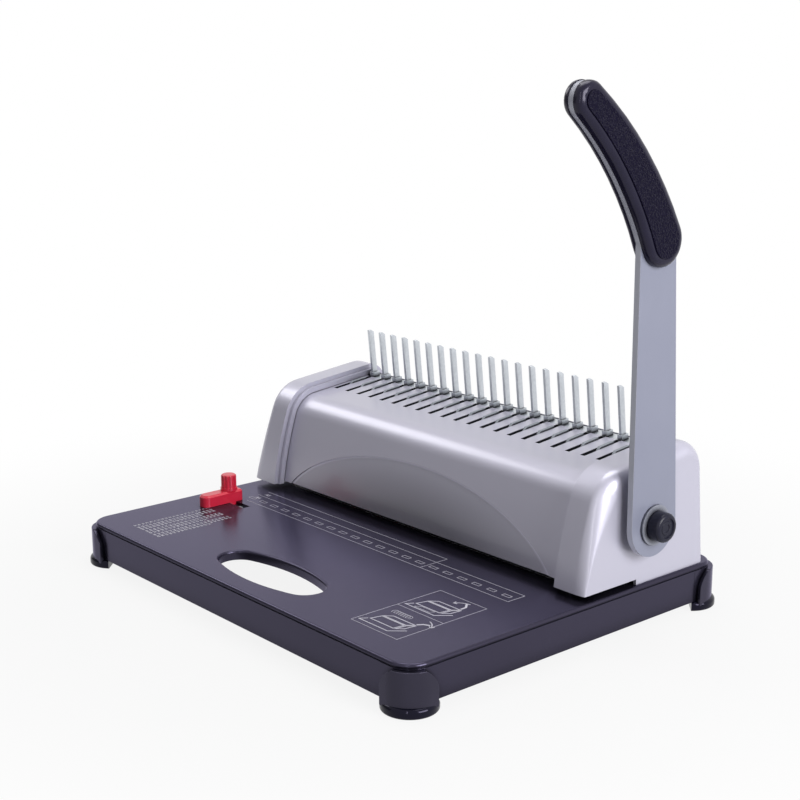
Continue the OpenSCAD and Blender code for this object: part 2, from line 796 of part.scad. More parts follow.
module bush_form() {
    color([0.72, 0.58, 0.32]) translate([0, shaft_y, shaft_z]) difference() {
        union() {
            rod_x(frame_in - EPS, bush_out, bush_r);
            rod_x(frame_in - bush_flange_t, frame_in, bush_flange_r);
        }
        rod_x(frame_in - bush_flange_t - 1, bush_out + 1, bore_r);
    }
}
module left_shaft_bush() { mirror([1, 0, 0]) bush_form(); }
module right_shaft_bush() { bush_form(); }

// Runners: two angles under the tray whose ledges carry the drawer
module drawer_runners() {
    web_y = drawer_w / 2 + runner_gap;
    color(STEEL) for (s = [0, 1]) translate([0, drawer_y, 0]) mirror([0, s, 0]) {
        box([runner_x0, web_y, drawer_floor - runner_ledge], [runner_x1, web_y + runner_t, plate_bottom]);
        box([runner_x0, web_y - runner_gap - runner_hold, drawer_floor - runner_ledge - drawer_gap],
            [runner_x1, web_y + EPS, drawer_floor - drawer_gap]);
    }
}

// Sector of a ring, as a drawing, for the clutch windows
module sector(r, a0, a1) {
    polygon(concat([[0, 0]], arc([0, 0], r, a0, a1, 16)));
}

// Gear drawing with involute flanks and one tooth on the first axis
function involute(a) = tan(a) - a * PI / 180;
function tooth_half(r, z) =
    let (rp = gear_m * z / 2, rb = rp * cos(PRESSURE), a = acos(min(1, rb / max(r, rb))))
    (PI / (2 * z) - lash / (4 * rp) + involute(PRESSURE) - involute(a)) * 180 / PI;
function on_circle(r, a) = r * [cos(a), sin(a)];
function gear_points(z) =
    let (rp = gear_m * z / 2, root = rp - rack_foot, flank = [0.25, 0.5, 0.75, 1],
         radii = concat([root], [for (f = flank) root + (rp + gear_m - root) * f]))
    [for (k = [0:z - 1]) each concat(
        [for (r = radii) on_circle(r, k * 360 / z - tooth_half(r, z))],
        [for (i = [len(radii) - 1:-1:0]) on_circle(radii[i], k * 360 / z + tooth_half(radii[i], z))])];

// Rack drawing: teeth point up from the pitch line at 0, with a space at the origin
function rack_tooth(c) =
    let (mid = tooth_pitch / 4 - lash / 4, tip = mid - rack_tip * tan(PRESSURE),
         foot = mid + rack_foot * tan(PRESSURE))
    [[c - foot, -rack_foot], [c - tip, rack_tip], [c + tip, rack_tip], [c + foot, -rack_foot]];
function rack_points(k0, k1, depth) =
    let (low = (k0 - 0.1) * tooth_pitch, high = (k1 + 1.1) * tooth_pitch)
    concat([[low, -rack_foot - depth], [low, -rack_foot]],
           [for (k = [k0:k1]) each rack_tooth((k + 0.5) * tooth_pitch)],
           [[high, -rack_foot], [high, -rack_foot - depth]]);

// Torque tube round the shaft, with windows in which the cross pins swing when the lever goes back
module pin_windows(r, x0, x1, a0, a1) {
    for (s = [0, 180]) along_x(x0, x1) sector(r, 90 + s + a0, 90 + s + a1);
}
tube_pin_x = 80;
module torque_tube() {
    color(STEEL) translate([0, shaft_y, shaft_z]) difference() {
        rod_x(-tube_end, tube_end, tube_r);
        rod_x(-tube_end - 1, tube_end + 1, bore_r);
        for (x = [-tube_pin_x, tube_pin_x])
            pin_windows(tube_r + 2, x - pin_r - pin_side_gap, x + pin_r + pin_side_gap,
                        -bind_turn - pin_half_angle, pin_half_angle);
    }
}
module punch_pinion(x) {
    color(STEEL) translate([0, shaft_y, shaft_z]) along_x(x - gear_w / 2, x + gear_w / 2) difference() {
        rotate(180) polygon(gear_points(punch_teeth));
        circle(tube_r + run_gap);
    }
}
module left_punch_pinion() { punch_pinion(-punch_pinion_x); }
module right_punch_pinion() { punch_pinion(punch_pinion_x); }

// Lever shaft, from the left collar to the stud in the knob
shaft_left = -hub_out - part_gap - collar_t - 0.5;
module pin_bores(r) {
    for (x = [-tube_pin_x, tube_pin_x, -hub_out + clutch_d / 2, hub_out - clutch_d / 2])
        translate([x, 0, 0]) cylinder(r = r, h = 4 * pin_reach, center = true);
}
module main_shaft() {
    color(STEEL) translate([0, shaft_y, shaft_z]) difference() {
        union() {
            rod_x(shaft_left, lever_out + washer_t, shaft_r);
            rod_x(lever_out + washer_t - EPS, lever_out + washer_t + knob_stud, knob_stud_r);
        }
        pin_bores(pin_r + 0.02);
    }
}
module drive_pins() {
    color(STEEL) translate([0, shaft_y, shaft_z])
        for (x = [-tube_pin_x, tube_pin_x, -hub_out + clutch_d / 2, hub_out - clutch_d / 2])
            translate([x, 0, -pin_reach]) cylinder(r = pin_r, h = 2 * pin_reach);
}
module ring_x(x0, x1, r, bore) {
    translate([0, shaft_y, shaft_z]) difference() {
        rod_x(x0, x1, r);
        rod_x(x0 - 1, x1 + 1, bore);
    }
}
module shaft_collar() {
    color(STEEL) ring_x(-hub_out - part_gap - collar_t, -hub_out - part_gap, collar_r, bore_r);
}
module lever_spacer() { color(STEEL) ring_x(hub_out + part_gap, lever_in, spacer_r, bore_r); }
module lever_washer() { color(STEEL) ring_x(lever_out, lever_out + washer_t, washer_r, bore_r); }

// Knob on the shaft's end: face with rings of different depth, and a rounded rim
module lever_knob() {
    edge = 2.5;
    foot = 0.6;
    bore = knob_stud_r + run_gap;
    bore_end = knob_stud + 0.2;
    ring_r = [0, 2.4, 4.6, 6.4];
    ring_depth = [1.2, 0.6, 1];
    ring_step = 0.4;
    rings = [for (i = [0:2]) each [[ring_r[i] + (i > 0 ? ring_step : 0), knob_h - ring_depth[i]],
                                   [ring_r[i + 1], knob_h - ring_depth[i]]]];
    outline = concat([[0, bore_end]], rings, [[ring_r[3] + ring_step, knob_h]],
        arc([knob_r - edge, knob_h - edge], edge, 90, 0, 5),
        [[knob_r, foot], [knob_r - foot, 0], [bore, 0], [bore, bore_end]]);
    color(BLACK) translate([lever_out + washer_t, shaft_y, shaft_z]) rotate([0, 90, 0]) rotate_extrude()
        polygon(outline);
}

// Line of the grip in (y, z) from the shaft: place, lean and half width at t from 0 to 1
function grip_turn(t) = grip_lean + grip_bend * t;
function grip_at(t) = [-grip_ahead, grip_up]
    + grip_arc_r * [cos(grip_turn(t)) - cos(grip_lean), sin(grip_turn(t)) - sin(grip_lean)];
function grip_half(t) = grip_r0 + (grip_r1 - grip_r0) * t;
function grip_side(t, r) = grip_at(t) + r * [cos(grip_turn(t)), sin(grip_turn(t))];

// Sides and tip of the grip, drawn in by g: up the rear side, round the tip and down the front side
grip_n = 2 * grip_steps;
function grip_rear(g) = [for (i = [0:grip_n]) grip_side(i / grip_n, grip_half(i / grip_n) - g)];
function grip_tip(g) = inside(arc(grip_at(1), grip_r1 - g, grip_turn(1), grip_turn(1) + 180, 12));
function grip_front(g) = [for (i = [grip_n:-1:0]) grip_side(i / grip_n, g - grip_half(i / grip_n))];
module grip_outline(g) {
    polygon(concat(grip_rear(g), grip_tip(g), grip_front(g),
        inside(arc(grip_at(0), grip_r0 - g, grip_lean + 180, grip_lean + 360, 12))));
}

// Lever bar: flat steel, round at the shaft, narrowing upward and bent over in the grip
module lever_bar() {
    inset = 0.5;
    lean = atan2(grip_ahead, grip_up);
    front = grip_front(inset);
    color(LEVER_GREY) translate([0, shaft_y, shaft_z]) along_x(lever_in, lever_out) difference() {
        polygon(concat(arc([0, 0], lever_r, 180 + lean, 360 + lean, 32),
            arc(grip_at(0), grip_r0 - inset, lean, grip_lean, 4), after(grip_rear(inset)), grip_tip(inset),
            [for (i = [0:len(front) - 2]) front[i]]));
        circle(shaft_r + run_gap);
        for (t = grip_screw_at) translate(grip_at(t)) circle(grip_screw_r + screw_gap);
    }
}

// Rounded disc at one place of the grip, flat side on the bar
module grip_disc(r, thick) {
    rotate([0, 90, 0]) rotate_extrude($fn = FACETS)
        polygon(concat([[0, 0], [r, 0]],
            arc([r - grip_edge, thick - grip_edge], grip_edge, 0, 90, 4), [[0, thick]]));
}
module grip_shell(thick) {
    for (i = [0:grip_steps - 1]) hull() for (t = [i / grip_steps, (i + 1) / grip_steps])
        translate([0, grip_at(t)[0], grip_at(t)[1]]) grip_disc(grip_half(t), thick);
}
module grip_outer_shell() {
    color(BLACK) translate([lever_out, shaft_y, shaft_z]) difference() {
        grip_shell(grip_outer_t);
        for (t = grip_screw_at) translate([0, grip_at(t)[0], grip_at(t)[1]])
            rod_x(-1, grip_outer_t - grip_skin, grip_screw_r + screw_gap);
    }
}
module grip_inner_shell() {
    color(BLACK) translate([lever_in, shaft_y, shaft_z]) mirror([1, 0, 0]) difference() {
        grip_shell(grip_inner_t);
        for (t = grip_screw_at) translate([0, grip_at(t)[0], grip_at(t)[1]]) {
            rod_x(-1, grip_inner_t + 1, grip_screw_r + screw_gap);
            rod_x(grip_inner_t - screw_head_h - screw_head_gap, grip_inner_t + 1, screw_head_r + part_gap);
        }
    }
}
module grip_pad() {
    color(BLACK) translate([0, shaft_y, shaft_z])
        along_x(lever_out + grip_outer_t, lever_out + grip_outer_t + pad_t) grip_outline(pad_inset);
}
module grip_screws() {
    seat = lever_in - grip_inner_t + screw_head_h + screw_head_gap;
    color(STEEL) translate([0, shaft_y, shaft_z]) for (t = grip_screw_at)
        translate([0, grip_at(t)[0], grip_at(t)[1]]) {
            rod_x(seat - EPS, lever_out + grip_outer_t - grip_skin - screw_head_gap, grip_screw_r);
            rod_x(seat - screw_head_h, seat, screw_head_r);
        }
}

// Opener pinion: toothed sector on a hub with a face clutch for the cross pin
module opener_pinion() {
    first = 250;
    last = 336;
    color(STEEL) translate([0, shaft_y, shaft_z]) difference() {
        union() {
            rotate([tilt, 0, 0]) along_x(opener_in, arm_out) {
                circle(sector_r);
                intersection() {
                    rotate(270) polygon(gear_points(opener_teeth));
                    sector(2 * opener_pitch_r, first, last);
                }
            }
            rod_x(arm_out - EPS, hub_out, hub_r);
        }
        rod_x(opener_in - 1, hub_out + 1, bore_r);
        pin_windows(pin_reach + 0.4, hub_out - clutch_d - pin_side_gap, hub_out + 1,
                    -pin_half_angle, punch_turn + pin_half_angle);
    }
}
module left_opener_pinion() { mirror([1, 0, 0]) opener_pinion(); }
module right_opener_pinion() { opener_pinion(); }

// Opener: plate that slides in the frames, a hook for every slot, and an arm with a rack at each end
module opener_plate() {
    color(STEEL) on_slope() box([-opener_in, plate_front, opener_plate_n],
                                [opener_in, plate_rear, opener_plate_n + opener_plate_t]);
}
module opener_hooks() {
    low = opener_plate_n + opener_plate_t;
    rear = hook_front + hook_l;
    beak = 3;
    color(STEEL) on_slope() comb_row() along_x(-hook_t / 2, hook_t / 2)
        polygon([[hook_front, low], [rear, low], [rear, hook_top], [hook_front + beak, hook_top],
                 [hook_front, hook_top - beak]]);
}
module opener_arm() {
    pitch_line = -opener_pitch_r;
    root = pitch_line - rack_foot;
    low = root - rack_depth;
    head_l = 8;
    head_lap = 3;
    head_front = plate_rear - head_l;
    head_low = opener_plate_n - head_lap;
    head_top = opener_plate_n + opener_plate_t + head_lap - 1;
    first = -2;
    last = 4;
    rack_start = (first - 0.1) * tooth_pitch;
    teeth = [for (k = [first:last]) each rack_tooth((k + 0.5) * tooth_pitch)];
    color(STEEL) on_slope() along_x(opener_in, arm_out)
        polygon(concat([[rack_start, low], [rack_start, root]], [for (p = teeth) p + [0, pitch_line]],
            [[leg_front, root], [leg_front, head_low], [head_front, head_low], [head_front, head_top],
             [leg_rear, head_top], [leg_rear, low]]));
}
module left_opener_arm() { mirror([1, 0, 0]) opener_arm(); }
module right_opener_arm() { opener_arm(); }

// Punch head: bar with tongues in the frames, a punch for every slot and two racks on its back
module punch_bar() {
    top = bar_bottom + bar_h;
    color(STEEL) {
        box([-cover_half, punch_y - bar_d / 2, bar_bottom], [cover_half, bar_back, top]);
        box([-frame_out - tongue_out, punch_y - tongue_d / 2, bar_bottom],
            [frame_out + tongue_out, punch_y + tongue_d / 2, top]);
    }
}
module punches() {
    tip = guide_bottom + tip_lift;
    bevel = 1;
    color(STEEL) comb_row() translate([0, punch_y + hole_d / 2, 0]) rotate([90, 0, 0])
        linear_extrude(hole_d) polygon([[-hole_w / 2, tip + bevel], [0, tip], [hole_w / 2, tip + bevel],
                 [hole_w / 2, bar_bottom], [-hole_w / 2, bar_bottom]]);
}
module punch_rack(x) {
    color(STEEL) translate([0, punch_rack_y, shaft_z]) along_x(x - gear_w / 2, x + gear_w / 2) {
        rotate(90) mirror([0, 1]) polygon(rack_points(-2, 4, rack_body));
        translate([bar_back - punch_rack_y, bar_bottom - shaft_z])
            square([rack_body, shaft_z - bar_bottom - tooth_pitch]);
    }
}
module left_punch_rack() { punch_rack(-punch_pinion_x); }
module right_punch_rack() { punch_rack(punch_pinion_x); }

// Edge guide: block on the tray with a tongue in the slot, a clamp plate below it, and a knob
// whose screw draws the two together
module guide_block() {
    edge = 1.5;
    ends = [[guide_nose - guide_tail, guide_nose], [guide_l - guide_tail - guide_corner, guide_corner]];
    color(RED) translate(guide_at) difference() {
        union() {
            hull() for (end = ends, x = [-1, 1])
                translate([x * (guide_w / 2 - end[1]), end[0], tray_top + slide_gap]) {
                    cylinder(r = end[1], h = guide_h - edge, $fn = FACETS);
                    cylinder(r = end[1] - edge, h = guide_h, $fn = FACETS);
                }
            box([-guide_tongue / 2, -guide_slot_w / 2 + slide_gap, plate_bottom + part_gap],
                [guide_tongue / 2, guide_slot_w / 2 - slide_gap, tray_top + 1]);
        }
        translate([0, 0, plate_bottom]) cylinder(r = guide_stud_r + run_gap, h = guide_h + plate_t + 1);
    }
}
module guide_clamp() {
    low = plate_bottom - slide_gap - clamp_t;
    color(STEEL) translate(guide_at + [0, 0, low]) difference() {
        linear_extrude(clamp_t) round_rect(clamp_w, clamp_d, guide_corner);
        translate([0, 0, -1]) cylinder(r = guide_stud_r + run_gap, h = clamp_t + 2);
    }
}
module guide_knob() {
    flutes = 12;
    flute_r = 0.9;
    flute_out = 0.3;
    edge = 1.5;
    collar_h = 2;
    collar_lip = 0.6;
    seat = tray_top + slide_gap + guide_h + slide_gap;
    low = plate_bottom - slide_gap - clamp_t - 1;
    color(RED) translate(guide_at) {
        translate([0, 0, low]) cylinder(r = guide_stud_r, h = seat - low + EPS);
        translate([0, 0, seat]) cylinder(r = guide_knob_r + collar_lip, h = collar_h);
        translate([0, 0, seat]) difference() {
            rotate_extrude() polygon(concat([[0, 0], [guide_knob_r, 0]],
                arc([guide_knob_r - edge, guide_knob_h - edge], edge, 0, 90, 4), [[0, guide_knob_h]]));
            for (k = [0:flutes - 1]) rotate(k * 360 / flutes)
                translate([guide_knob_r + flute_out, 0, collar_h])
                    cylinder(r = flute_r, h = guide_knob_h, $fn = FACETS);
        }
    }
}

// Chip drawer: open box under the die, drawn out to the left by the lip of its end
module chip_drawer() {
    end_t = 2;
    pull = 5;
    half = drawer_w / 2;
    color(BLACK) translate([drawer_x0, drawer_y, drawer_floor]) difference() {
        union() {
            box([0, -half, 0], [drawer_l, half, drawer_h]);
            box([0, -half - drawer_end_lip, 0], [end_t, half + drawer_end_lip, drawer_h]);
        }
        box([end_t, -half + drawer_wall, drawer_wall],
            [drawer_l - drawer_wall, half - drawer_wall, drawer_h + 1]);
        // Finger notch in the end's lower edge
        translate([-1, 0, -1]) along_x(0, end_t + 2) circle(pull);
    }
}

base_tray();
front_left_foot();
front_right_foot();
rear_left_foot();
rear_right_foot();
foot_screws();
main_cover();
rear_cover();
left_end_cap();
right_end_cap();
cap_screws();
left_side_frame();
right_side_frame();
frame_screws();
tie_rods();
tie_nuts();
die_block();
paper_stop();
punch_guide();
die_screws();
finger_rail();
comb_fingers();
left_shaft_bush();
right_shaft_bush();
drawer_runners();
torque_tube();
left_punch_pinion();
right_punch_pinion();
main_shaft();
drive_pins();
shaft_collar();
lever_spacer();
lever_bar();
lever_washer();
lever_knob();
grip_outer_shell();
grip_inner_shell();
grip_pad();
grip_screws();
left_opener_pinion();
right_opener_pinion();
opener_plate();
opener_hooks();
left_opener_arm();
right_opener_arm();
punch_bar();
punches();
left_punch_rack();
right_punch_rack();
guide_block();
guide_clamp();
guide_knob();
chip_drawer();
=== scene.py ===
import math

import bmesh
import bpy
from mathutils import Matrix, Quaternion, Vector


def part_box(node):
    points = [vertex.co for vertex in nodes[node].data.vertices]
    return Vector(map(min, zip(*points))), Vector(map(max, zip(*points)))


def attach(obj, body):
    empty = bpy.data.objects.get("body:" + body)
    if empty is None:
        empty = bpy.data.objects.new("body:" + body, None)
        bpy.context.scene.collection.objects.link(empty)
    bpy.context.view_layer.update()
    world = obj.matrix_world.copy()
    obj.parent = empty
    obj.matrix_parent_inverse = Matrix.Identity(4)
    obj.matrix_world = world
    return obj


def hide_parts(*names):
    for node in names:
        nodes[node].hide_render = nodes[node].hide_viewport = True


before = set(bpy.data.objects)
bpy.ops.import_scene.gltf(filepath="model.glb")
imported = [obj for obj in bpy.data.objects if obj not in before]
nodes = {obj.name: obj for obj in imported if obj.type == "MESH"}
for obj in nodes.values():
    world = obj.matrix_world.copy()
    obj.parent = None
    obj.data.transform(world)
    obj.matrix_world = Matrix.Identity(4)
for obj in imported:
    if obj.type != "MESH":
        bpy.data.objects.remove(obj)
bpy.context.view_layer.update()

# Tray: a pan pressed from steel sheet, with a rounded rim, a hand opening and a slot for the edge guide.
# It is sprayed a dark violet grey with some metal flake, satin with a fine orange peel, and its rim is a
# little polished by hands. The feet, the caps and the side frames are screwed to it.
MM = 0.001


def new_material(name):
    """A node material with nothing but its principled shader."""
    material = bpy.data.materials.new(name)
    material.use_nodes = True
    return material


def shader_of(material):
    """The principled shader of a material."""
    return material.node_tree.nodes["Principled BSDF"]


def add(tree, kind, **settings):
    """A node of that kind in the tree; settings are its properties."""
    made = tree.nodes.new(kind)
    for key, value in settings.items():
        setattr(made, key, value)
    return made


def shader_group(name, inputs, outputs):
    """An empty shader group with named float inputs, given with their defaults, and float outputs."""
    group = bpy.data.node_groups.new(name, "ShaderNodeTree")
    for socket, value in inputs.items():
        made = group.interface.new_socket(socket, in_out="INPUT", socket_type="NodeSocketFloat")
        made.default_value = value
    for socket in outputs:
        group.interface.new_socket(socket, in_out="OUTPUT", socket_type="NodeSocketFloat")
    return group, add(group, "NodeGroupInput"), add(group, "NodeGroupOutput")


def place_group(material, group, **values):
    """The group as a node of the material; an underscore in a value's name stands for a space."""
    made = add(material.node_tree, "ShaderNodeGroup", node_tree=group)
    for key, value in values.items():
        made.inputs[key.replace("_", " ")].default_value = value
    return made


# Grain of a painted or moulded surface: fine bumps, and a slow mottle for its colour
grain_inputs = {"Scale": 900.0, "Mottle scale": 40.0}
surface_grain, into, out = shader_group("Surface grain", grain_inputs, ["Height", "Mottle"])
place = add(surface_grain, "ShaderNodeTexCoord")
fine = add(surface_grain, "ShaderNodeTexNoise")
fine.inputs["Detail"].default_value = 3.0
slow = add(surface_grain, "ShaderNodeTexNoise")
slow.inputs["Detail"].default_value = 4.0
for noise, scale, result in ((fine, "Scale", "Height"), (slow, "Mottle scale", "Mottle")):
    surface_grain.links.new(place.outputs["Object"], noise.inputs["Vector"])
    surface_grain.links.new(into.outputs[scale], noise.inputs["Scale"])
    surface_grain.links.new(noise.outputs["Fac"], out.inputs[result])

# Wear along edges: where the rounded normal leaves the true one, broken up by noise
wear_inputs = {"Radius": 0.8 * MM, "Amount": 1.0, "Breakup": 120.0}
edge_wear, into, out = shader_group("Edge wear", wear_inputs, ["Mask"])
rounded = add(edge_wear, "ShaderNodeBevel", samples=4)
true_normal = add(edge_wear, "ShaderNodeNewGeometry")
agree = add(edge_wear, "ShaderNodeVectorMath", operation="DOT_PRODUCT")
leave = add(edge_wear, "ShaderNodeMath", operation="SUBTRACT")
leave.inputs[0].default_value = 1.0
place = add(edge_wear, "ShaderNodeTexCoord")
patches = add(edge_wear, "ShaderNodeTexNoise")
patches.inputs["Detail"].default_value = 5.0
broken = add(edge_wear, "ShaderNodeMath", operation="MULTIPLY")
worn = add(edge_wear, "ShaderNodeMath", operation="MULTIPLY", use_clamp=True)
edge_wear.links.new(into.outputs["Radius"], rounded.inputs["Radius"])
edge_wear.links.new(rounded.outputs["Normal"], agree.inputs[0])
edge_wear.links.new(true_normal.outputs["Normal"], agree.inputs[1])
edge_wear.links.new(agree.outputs["Value"], leave.inputs[1])
edge_wear.links.new(place.outputs["Object"], patches.inputs["Vector"])
edge_wear.links.new(into.outputs["Breakup"], patches.inputs["Scale"])
edge_wear.links.new(leave.outputs["Value"], broken.inputs[0])
edge_wear.links.new(patches.outputs["Fac"], broken.inputs[1])
edge_wear.links.new(broken.outputs["Value"], worn.inputs[0])
edge_wear.links.new(into.outputs["Amount"], worn.inputs[1])
edge_wear.links.new(worn.outputs["Value"], out.inputs["Mask"])

# Painted shade: slots, inner corners, joints between pieces and surfaces near other pieces are darkened by
# how closed in they are
hollow_shade_inputs = {"Depth": 5 * MM, "Shut": 0.5, "Open": 0.9}
hollow_shade, into, out = shader_group("Recesses", hollow_shade_inputs, ["Mask"])
hollow = add(hollow_shade, "ShaderNodeAmbientOcclusion", samples=8)
graded = add(hollow_shade, "ShaderNodeMapRange")
graded.inputs["To Min"].default_value = 1.0
graded.inputs["To Max"].default_value = 0.0
hollow_shade.links.new(into.outputs["Depth"], hollow.inputs["Distance"])
hollow_shade.links.new(hollow.outputs["AO"], graded.inputs["Value"])
hollow_shade.links.new(into.outputs["Shut"], graded.inputs["From Min"])
hollow_shade.links.new(into.outputs["Open"], graded.inputs["From Max"])
hollow_shade.links.new(graded.outputs["Result"], out.inputs["Mask"])

# Handling marks: faint wiped patches that change only the gloss
marks_inputs = {"Scale": 14.0, "Low": 0.3, "High": 0.4}
handling, into, out = shader_group("Handling marks", marks_inputs, ["Roughness"])
place = add(handling, "ShaderNodeTexCoord")
wiped = add(handling, "ShaderNodeTexNoise")
wiped.inputs["Detail"].default_value = 6.0
wiped.inputs["Distortion"].default_value = 0.6
spread = add(handling, "ShaderNodeMapRange")
handling.links.new(place.outputs["Object"], wiped.inputs["Vector"])
handling.links.new(into.outputs["Scale"], wiped.inputs["Scale"])
handling.links.new(wiped.outputs["Fac"], spread.inputs["Value"])
handling.links.new(into.outputs["Low"], spread.inputs["To Min"])
handling.links.new(into.outputs["High"], spread.inputs["To Max"])
handling.links.new(spread.outputs["Result"], out.inputs["Roughness"])


def overlay(tree, below, mask, colour):
    """A colour laid over the one below where a mask says so; gives the socket of the result."""
    laid = add(tree, "ShaderNodeMix", data_type="RGBA")
    laid.inputs["B"].default_value = (*colour, 1.0)
    tree.links.new(mask, laid.inputs["Factor"])
    tree.links.new(below, laid.inputs["A"])
    return laid.outputs["Result"]


def finish(name, dark, light, gloss, metallic=0.0, grain=900.0, mottle=40.0, bump=0.05, wear=None,
           wear_amount=0.0, hollow_shade_colour=None, hollow_shade_depth=5 * MM, hollow_shade_open=0.9, sockets=None):
    """A painted, plated or moulded finish, mottled between two colours, grained and wiped.

    gloss is its range of roughness; wear is the colour of its edges; the colour given for hollows is painted
    shade, laid in its hollows and near other pieces.
    sockets holds plain values for the shader's other inputs.
    """
    HOLLOW_SHADE_FADE, BUMP_HEIGHT = 0.4, 0.1 * MM
    material = new_material(name)
    tree = material.node_tree
    shader = shader_of(material)
    shader.inputs["Metallic"].default_value = metallic
    for socket, value in (sockets or {}).items():
        shader.inputs[socket].default_value = value
    texture = place_group(material, surface_grain, Scale=grain, Mottle_scale=mottle)
    colour = add(tree, "ShaderNodeMix", data_type="RGBA")
    colour.inputs["A"].default_value = (*dark, 1.0)
    colour.inputs["B"].default_value = (*light, 1.0)
    tree.links.new(texture.outputs["Mottle"], colour.inputs["Factor"])
    last = colour.outputs["Result"]
    if wear:
        edges = place_group(material, edge_wear, Amount=wear_amount)
        last = overlay(tree, last, edges.outputs["Mask"], wear)
    # Painted shade in the hollows and near other pieces
    if hollow_shade_colour:
        hollow_shade_shut = hollow_shade_open - HOLLOW_SHADE_FADE
        hollows = place_group(material, hollow_shade, Depth=hollow_shade_depth, Shut=hollow_shade_shut, Open=hollow_shade_open)
        last = overlay(tree, last, hollows.outputs["Mask"], hollow_shade_colour)
    tree.links.new(last, shader.inputs["Base Color"])
    marks = place_group(material, handling, Low=gloss[0], High=gloss[1])
    tree.links.new(marks.outputs["Roughness"], shader.inputs["Roughness"])
    rise = add(tree, "ShaderNodeBump")
    rise.inputs["Strength"].default_value = bump
    rise.inputs["Distance"].default_value = BUMP_HEIGHT
    tree.links.new(texture.outputs["Height"], rise.inputs["Height"])
    tree.links.new(rise.outputs["Normal"], shader.inputs["Normal"])
    return material


def mesh_group(name):
    """An empty geometry group for a modifier, with a mesh going in and one coming out."""
    group = bpy.data.node_groups.new(name, "GeometryNodeTree")
    group.is_modifier = True
    for way in ("INPUT", "OUTPUT"):
        group.interface.new_socket("Geometry", in_out=way, socket_type="NodeSocketGeometry")
    return group, add(group, "NodeGroupInput"), add(group, "NodeGroupOutput")


# Shading of a node: faces that meet under the angle look round, sharper edges stay crisp
ROUND_UNDER, SHARP_OVER = math.radians(34), math.radians(38)
round_shading, into, out = mesh_group("Round shading")
plain = add(round_shading, "GeometryNodeRemoveAttribute")
plain.inputs["Name"].default_value = "custom_normal"
faces = add(round_shading, "GeometryNodeSetShadeSmooth", domain="FACE")
edges = add(round_shading, "GeometryNodeSetShadeSmooth", domain="EDGE")
angle = add(round_shading, "GeometryNodeInputMeshEdgeAngle")
under = add(round_shading, "FunctionNodeCompare", data_type="FLOAT", operation="LESS_THAN")
under.inputs["B"].default_value = ROUND_UNDER
round_shading.links.new(into.outputs["Geometry"], plain.inputs["Geometry"])
round_shading.links.new(plain.outputs["Geometry"], faces.inputs["Geometry"])
round_shading.links.new(faces.outputs["Geometry"], edges.inputs["Geometry"])
round_shading.links.new(angle.outputs["Unsigned Angle"], under.inputs["A"])
round_shading.links.new(under.outputs["Result"], edges.inputs["Shade Smooth"])
round_shading.links.new(edges.outputs["Geometry"], out.inputs["Geometry"])


def round_off(piece, edge=0.0, weights=None):
    """Gives a piece round shading and, where asked for, rounded edges, weighted by a mesh group."""
    SAME_POINT, SAME_PLANE = 0.002 * MM, math.radians(0.3)
    weld = piece.modifiers.new("Weld", "WELD")
    weld.merge_threshold = SAME_POINT
    if edge:
        flat = piece.modifiers.new("Flat faces", "DECIMATE")
        flat.decimate_type = "DISSOLVE"
        flat.angle_limit = SAME_PLANE
        if weights:
            piece.modifiers.new("Edge weights", "NODES").node_group = weights
        bevel = piece.modifiers.new("Rounded edge", "BEVEL")
        bevel.width = edge
        bevel.segments = 3 if weights else 2
        bevel.limit_method = "WEIGHT" if weights else "ANGLE"
        bevel.angle_limit = SHARP_OVER
        bevel.miter_outer = "MITER_ARC"
        bevel.use_clamp_overlap = not weights
    piece.modifiers.new("Round shading", "NODES").node_group = round_shading
    weighted = piece.modifiers.new("Flat faces stay flat", "WEIGHTED_NORMAL")
    weighted.keep_sharp = True


def dress(node, material, edge=0.0, weights=None):
    """Gives a CAD node its finish and rounds it off."""
    piece = nodes[node]
    piece.data.materials.clear()
    piece.data.materials.append(material)
    round_off(piece, edge, weights)


# The tray's painted shade reaches 22 mm, so it darkens the tray under the head's front and round the pieces
# on it: a painted shadow
tray_paint = finish(
    "tray_paint", dark=(0.031, 0.028, 0.047), light=(0.039, 0.035, 0.058), gloss=(0.18, 0.26), metallic=0.6,
    grain=1400, mottle=9, bump=0.06, wear=(0.07, 0.07, 0.10), wear_amount=0.6,
    hollow_shade_colour=(0.002, 0.002, 0.004), hollow_shade_depth=22 * MM,
    sockets={"Specular IOR Level": 0.33, "Specular Tint": (0.80, 0.76, 1.0, 1.0)})
tray_low, tray_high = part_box("base_tray")

# The edge of the hand opening is rolled round for the fingers; every other edge keeps a tenth of that
ROLLED, OTHER, RIM_DEPTH = 1.8 * MM, 0.1, 0.5 * MM
opening_middle = Vector((0.0, -107 * MM, 0.0))
opening_half = Vector((58 * MM, 25 * MM, 1.0))
rim_weights, into, out = mesh_group("Rim weights")
spot = add(rim_weights, "GeometryNodeInputPosition")
offset = add(rim_weights, "ShaderNodeVectorMath", operation="SUBTRACT")
offset.inputs[1].default_value = opening_middle
scaled = add(rim_weights, "ShaderNodeVectorMath", operation="DIVIDE")
scaled.inputs[1].default_value = opening_half
reach = add(rim_weights, "ShaderNodeVectorMath", operation="LENGTH")
near = add(rim_weights, "ShaderNodeMath", operation="LESS_THAN")
near.inputs[1].default_value = 1.0
height = add(rim_weights, "ShaderNodeSeparateXYZ")
on_top = add(rim_weights, "ShaderNodeMath", operation="GREATER_THAN")
on_top.inputs[1].default_value = tray_high.z - RIM_DEPTH
rim = add(rim_weights, "ShaderNodeMath", operation="MULTIPLY")
more = add(rim_weights, "ShaderNodeMath", operation="MULTIPLY_ADD")
more.inputs[1].default_value = 1.0 - OTHER
more.inputs[2].default_value = OTHER
angle = add(rim_weights, "GeometryNodeInputMeshEdgeAngle")
sharp = add(rim_weights, "ShaderNodeMath", operation="GREATER_THAN")
